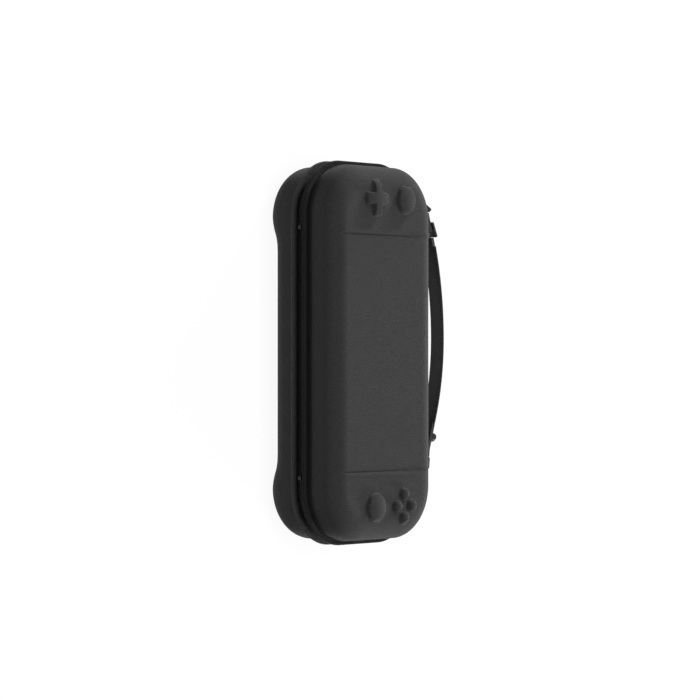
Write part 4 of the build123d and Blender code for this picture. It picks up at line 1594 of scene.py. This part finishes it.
@dataclass
class LidPocket:
    """Cloth pocket across the lid's hollow, with an elastic hem and two rows of card sleeves."""

    place: Place
    outline: CaseOutline
    level: float = 10.0
    thickness: float = 0.8
    inset: float = 3.4
    front_y: float = 38.0
    hem_width: float = 3.0
    hem_height: float = 2.0
    hem_waves: int = 64
    hem_wave_steps: int = 6
    hem_gather: float = 0.14
    hem_sides: int = 14
    hem_square: float = 0.6
    slack: float = 0.35
    sleeve_count: int = 5
    sleeve_pitch: float = 33.0
    sleeve_half_length: float = 13.5
    sleeve_half_width: float = 17.5
    sleeve_thickness: float = 2.4
    sleeve_rows: tuple[float, float] = (13.5, -28.5)
    sleeve_grid: tuple[int, int] = (20, 26)
    sleeve_lip: float = 0.35
    sleeve_lip_start: float = 0.78
    sleeve_lip_run: float = 0.06
    sleeve_mouth_start: float = 0.96
    sleeve_mouth_run: float = 0.04
    sleeve_base: float = 0.25
    sleeve_sink: float = 0.05
    seam_inset: float = 0.7
    seam_front: float = 1.0
    seam_drop: float = 0.75
    columns: int = 120
    rows: int = 40

    def reach(self, x: float) -> float:
        """Gives half of the pocket's width at a distance along the case.

        Args:
            x: Distance along the case.

        Returns:
            Half of the width.
        """
        radius = self.outline.corner_radius - self.inset
        side = self.outline.half_length - self.inset - radius
        out = max(0.0, abs(x) - side)
        return (self.outline.half_width - self.inset - radius) + math.sqrt(max(0.0, radius ** 2 - out ** 2))

    def half_length_at(self, y: float) -> float:
        """Gives half of the pocket's length at a height across the case.

        Args:
            y: Distance across the case.

        Returns:
            Half of the length.
        """
        radius = self.outline.corner_radius - self.inset
        end = self.outline.half_width - self.inset - radius
        out = max(0.0, abs(y) - end)
        return (self.outline.half_length - self.inset - radius) + math.sqrt(max(0.0, radius ** 2 - out ** 2))

    def sag(self, x: float, y: float) -> float:
        """Gives how far the cloth hangs below its edges, in one shallow belly.

        Args:
            x: Distance along the case.
            y: Distance across the case.

        Returns:
            Height from the edges, 0 or less.
        """
        across = (y + self.reach(x)) / (self.front_y + self.reach(x))
        along = 1 - (x / self.half_length_at(0)) ** 2
        return -self.slack * max(0.0, along) * math.sin(math.pi * min(1.0, max(0.0, across)))

    def build_panel(self, finish: Finish) -> None:
        """Builds the panel as one thin cloth, slightly slack between its seams.

        Args:
            finish: Finishes of the case.
        """
        layers = []
        for z in (self.level, self.level + self.thickness):
            layer = []
            for j in range(self.rows + 1):
                share = j / self.rows
                row = []
                for i in range(self.columns + 1):
                    turn = -math.cos(math.pi * i / self.columns)
                    y = -self.reach(0) + (self.front_y + self.reach(0)) * share
                    x = turn * self.half_length_at(y)
                    row.append(self.place.point(x, y, z + (self.sag(x, y) if z == self.level else 0.0)))
                layer.append(row)
            layers.append(layer)
        sketch = MeshSketch()
        sketch.sheet(*reversed(layers))
        panel = sketch.build("pocket_cloth", (finish.lining,))
        settle(panel, Body.LID, "lining_cloth", "pocket_panel")

    def build_hem(self, finish: Finish) -> None:
        """Builds the gathered elastic along the pocket's open edge.

        Args:
            finish: Finishes of the case.
        """
        end = self.half_length_at(self.front_y + self.hem_width)
        middle = self.level + self.thickness / 2
        sketch = MeshSketch()
        rings, runs = [], []
        steps = self.hem_waves * self.hem_wave_steps
        for i in range(steps + 1):
            x = -end + 2 * end * i / steps
            swell = 1 - self.hem_gather * (1 - math.cos(2 * math.pi * i / self.hem_wave_steps))
            ring = []
            for k in range(self.hem_sides):
                turn = 2 * math.pi * k / self.hem_sides
                y, z = math.cos(turn), math.sin(turn)
                y = math.copysign(abs(y) ** self.hem_square, y) * self.hem_width / 2
                z = math.copysign(abs(z) ** self.hem_square, z) * self.hem_height / 2 * swell
                ring.append(self.place.point(x, self.front_y + self.hem_width / 2 + y, middle + z))
            rings.append(ring)
            runs.append(x)
        sketch.tube(rings, runs)
        settle(sketch.build("elastic_hem", (finish.elastic,)), Body.LID, "hem_elastic", "pocket_hem")

    def add_sleeve(self, sketch: MeshSketch, x: float, y: float) -> None:
        """Adds one sleeve: a puffed pocket with a folded lip along its open edge.

        Args:
            sketch: Sketch that gets the piece.
            x: Middle of the sleeve along the case.
            y: Its middle across the case.
        """
        columns, rows = self.sleeve_grid
        skins = []
        for lower in (True, False):
            skin = []
            for j in range(rows + 1):
                across = -1 + 2 * j / rows
                row = []
                for i in range(columns + 1):
                    along = -1 + 2 * i / columns
                    puff = (1 - abs(along) ** 5) * (1 - max(0.0, -across) ** 6)
                    folded = smooth_step((across - self.sleeve_lip_start) / self.sleeve_lip_run)
                    lip = self.sleeve_lip * folded * (1 - abs(along) ** 8)
                    drop = self.sleeve_thickness * 0.8 * puff ** 0.6 + lip + self.sleeve_base
                    drop *= 1 - smooth_step((across - self.sleeve_mouth_start) / self.sleeve_mouth_run) * 0.5
                    z = self.level - (drop if lower else -self.sleeve_sink)
                    row.append(self.place.point(x + along * self.sleeve_half_length,
                                                y + across * self.sleeve_half_width, z))
                skin.append(row)
            skins.append(skin)
        sketch.sheet(*reversed(skins))

    def build_sleeves(self, name: str, y: float, finish: Finish) -> None:
        """Builds one row of sleeves with the stitches round each one.

        Args:
            name: Node that the row replaces.
            y: Middle of the row across the case.
            finish: Finishes of the case.
        """
        sketch = MeshSketch()
        rows = MeshSketch()
        stitching = Stitching(self.place, stitch=1.8, gap=0.8, thread=0.2)
        for i in range(self.sleeve_count):
            x = (i - (self.sleeve_count - 1) / 2) * self.sleeve_pitch
            self.add_sleeve(sketch, x, y)
            half = self.sleeve_half_length - self.seam_inset
            left, right = x - half, x + half
            front = y + self.sleeve_half_width - self.seam_front
            back = y - self.sleeve_half_width + self.seam_inset
            z = self.level - self.seam_drop
            stitching.row(rows, [Vector((left, front, z)), Vector((left, back, z)),
                                 Vector((right, back, z)), Vector((right, front, z))])
        settle(sketch.build(name + "_cloth", (finish.lining,)), Body.LID, "lining_cloth", name)
        settle(rows.build(name + "_stitches", (finish.thread,)), Body.LID, "lining_cloth")

    def build(self, finish: Finish) -> None:
        """Builds the pocket and its sleeves.

        Args:
            finish: Finishes of the case.
        """
        self.build_panel(finish)
        self.build_hem(finish)
        for name, y in zip(("front_card_sleeves", "rear_card_sleeves"), self.sleeve_rows):
            self.build_sleeves(name, y, finish)


@dataclass(frozen=True)
class Lamp:
    """Soft panel lamp: its direction from the case, its distance and size in metres, and its watts."""

    name: str
    toward: tuple[float, float, float]
    away: float
    size: tuple[float, float]
    watts: float

    def hang(self, middle: Vector) -> None:
        """Hangs the lamp so that it faces the case's middle.

        Args:
            middle: Frame point that it faces.
        """
        data = bpy.data.lights.new(self.name, "AREA")
        data.shape = "RECTANGLE"
        data.size, data.size_y = self.size
        data.energy = self.watts
        made = bpy.data.objects.new(self.name, data)
        direction = Vector(self.toward).normalized()
        made.location = middle + direction * self.away
        made.rotation_euler = direction.to_track_quat("Z", "Y").to_euler()
        made.visible_camera = False
        bpy.context.scene.collection.objects.link(made)


LAMPS = (
    Lamp("top panel", toward=(0.0, -0.16, 0.99), away=3.0, size=(1.8, 1.8), watts=38.0),
    Lamp("rear panel", toward=(-0.75, 0.65, 0.13), away=3.0, size=(0.7, 0.7), watts=66.0),
    Lamp("fore panel", toward=(0.6, 0.79, 0.13), away=3.0, size=(1.2, 1.2), watts=62.0),
    Lamp("under panel", toward=(0.0, -0.5, -0.87), away=1.0, size=(0.9, 0.3), watts=4.2),
)


@dataclass
class Studio:
    """Camera of the photograph, pale floor and soft lamps."""

    place: Place
    turn_degrees: float = 51.646
    tilt_degrees: float = -0.219
    distance_mm: float = 2169.04
    focal_pixels: float = 3147.8
    image_pixels: int = 700
    axis_pixel: tuple[float, float] = (354.963, 352.950)
    floor_half: float = 4.0
    floor_colour: str = "#6c6c6c"
    floor_glow: float = 0.93
    ambient: float = 0.035

    def axes(self) -> Matrix:
        """Gives the camera's right, up and backward directions as columns.

        Returns:
            Turn of the camera.
        """
        turn, tilt = math.radians(self.turn_degrees), math.radians(self.tilt_degrees)
        right = Vector((0, math.cos(turn), math.sin(turn)))
        back = Vector((0, -math.sin(turn), math.cos(turn)))
        up = Vector((-1, 0, 0))
        tilted_back = back * math.cos(tilt) + up * math.sin(tilt)
        tilted_up = up * math.cos(tilt) - back * math.sin(tilt)
        return Matrix((right, tilted_up, tilted_back)).transposed()

    def camera(self) -> None:
        """Stands the camera at the photograph's view."""
        data = bpy.data.cameras.new("camera")
        data.sensor_width = 36.0
        data.lens = self.focal_pixels * data.sensor_width / self.image_pixels
        middle = self.image_pixels / 2
        data.shift_x = (middle - self.axis_pixel[0]) / self.image_pixels
        data.shift_y = (self.axis_pixel[1] - middle) / self.image_pixels
        data.clip_end = 50.0
        made = bpy.data.objects.new("camera", data)
        axes = self.axes()
        spot = self.place.middle + axes.col[2] * self.distance_mm * MM
        made.matrix_world = Matrix.Translation(spot) @ axes.to_4x4()
        bpy.context.scene.collection.objects.link(made)
        bpy.context.scene.camera = made

    def seen_share(self, tree: bpy.types.NodeTree) -> bpy.types.NodeSocket:
        """Gives 1 to rays that show the background: from the camera, a gloss or a clear piece.

        Args:
            tree: Node tree that gets the nodes.

        Returns:
            Share from 0 to 1.
        """
        rays = add_node(tree, "LightPath").outputs
        share = rays["Is Camera Ray"]
        for name in ("Is Glossy Ray", "Is Transmission Ray"):
            share = add_node(tree, "Math", {"operation": "MAXIMUM"}, {0: share, 1: rays[name]}).outputs[0]
        return share

    def floor(self) -> None:
        """Lays a translucent white table top that keeps a faint shadow and lets light up from below."""
        half = self.floor_half
        mesh = bpy.data.meshes.new("floor")
        mesh.from_pydata([(-half, -half, 0), (half, -half, 0), (half, half, 0), (-half, half, 0)], [],
                         [(0, 1, 2, 3)])
        made = bpy.data.objects.new("floor", mesh)
        made.visible_shadow = False
        bpy.context.scene.collection.objects.link(made)
        table = bpy.data.materials.new("white acrylic table")
        table.use_nodes = True
        tree = table.node_tree
        tree.nodes.clear()
        matt = add_node(tree, "BsdfDiffuse", None, {"Color": linear(self.floor_colour)})
        strength = add_node(tree, "Math", {"operation": "MULTIPLY"},
                            {0: self.seen_share(tree), 1: self.floor_glow})
        glow = add_node(tree, "Emission", None, {"Strength": strength.outputs[0]})
        both = add_node(tree, "AddShader", None, {0: matt.outputs[0], 1: glow.outputs[0]})
        add_node(tree, "OutputMaterial", None, {"Surface": both.outputs[0]})
        mesh.materials.append(table)

    def world(self) -> None:
        """Sets a white surround that lights the case only a little."""
        world = bpy.data.worlds.new("white surround")
        world.use_nodes = True
        tree = world.node_tree
        strength = add_node(tree, "MapRange", None, {0: self.seen_share(tree), 3: self.ambient, 4: 1.0})
        tree.links.new(strength.outputs[0], tree.nodes["Background"].inputs["Strength"])
        tree.nodes["Background"].inputs["Color"].default_value = (1, 1, 1, 1)
        bpy.context.scene.world = world

    def build(self) -> None:
        """Sets the whole studio."""
        self.camera()
        self.floor()
        self.world()
        for lamp in LAMPS:
            lamp.hang(self.place.middle)
        bpy.context.scene.view_settings.view_transform = "Standard"


CAD_CREASE_DEGREES = 35.0
CAD_FINISHES = {
    "lacquer": ("zip_stops", "left_slider", "right_slider", "left_pull", "right_pull"),
    "nickel": ("clasp_hook", "clasp_swivel", "trigger_pin", "upper_ring", "lower_ring"),
    "plastic": ("clasp_trigger", "strap_ferrule"),
    "gunmetal": ("strap_stud", "stud_screw"),
}


def dress_nodes(finish: Finish) -> None:
    """Gives each carried-over node its finish and smooth shading.

    Args:
        finish: Finishes of the case.
    """
    for attribute, names in CAD_FINISHES.items():
        for name in names:
            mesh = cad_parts[name].data
            mesh.materials.clear()
            mesh.materials.append(getattr(finish, attribute).data)
            mesh.shade_smooth()
            mesh.set_sharp_from_angle(angle=math.radians(CAD_CREASE_DEGREES))
            LOG.info("%s keeps its solid, in %s", name, attribute)


def main() -> None:
    """Builds every sub-assembly in order."""
    logging.basicConfig(level=logging.INFO)
    place = Place.from_frame()
    finish = Finish()
    outline = CaseOutline()
    dress_nodes(finish)
    LidShell(place, outline, Embossing()).build(finish)
    base = BaseShell(place, outline)
    base.build(finish)
    ZipClosure(place, outline).build(finish)
    SpineTape(place, outline).build(finish)
    CarryStrap(place, outline).build(finish)
    FoamCradle(place, outline, base).build(finish)
    LidPocket(place, outline).build(finish)
    Studio(place).build()


if __name__ == "__main__":
    main()
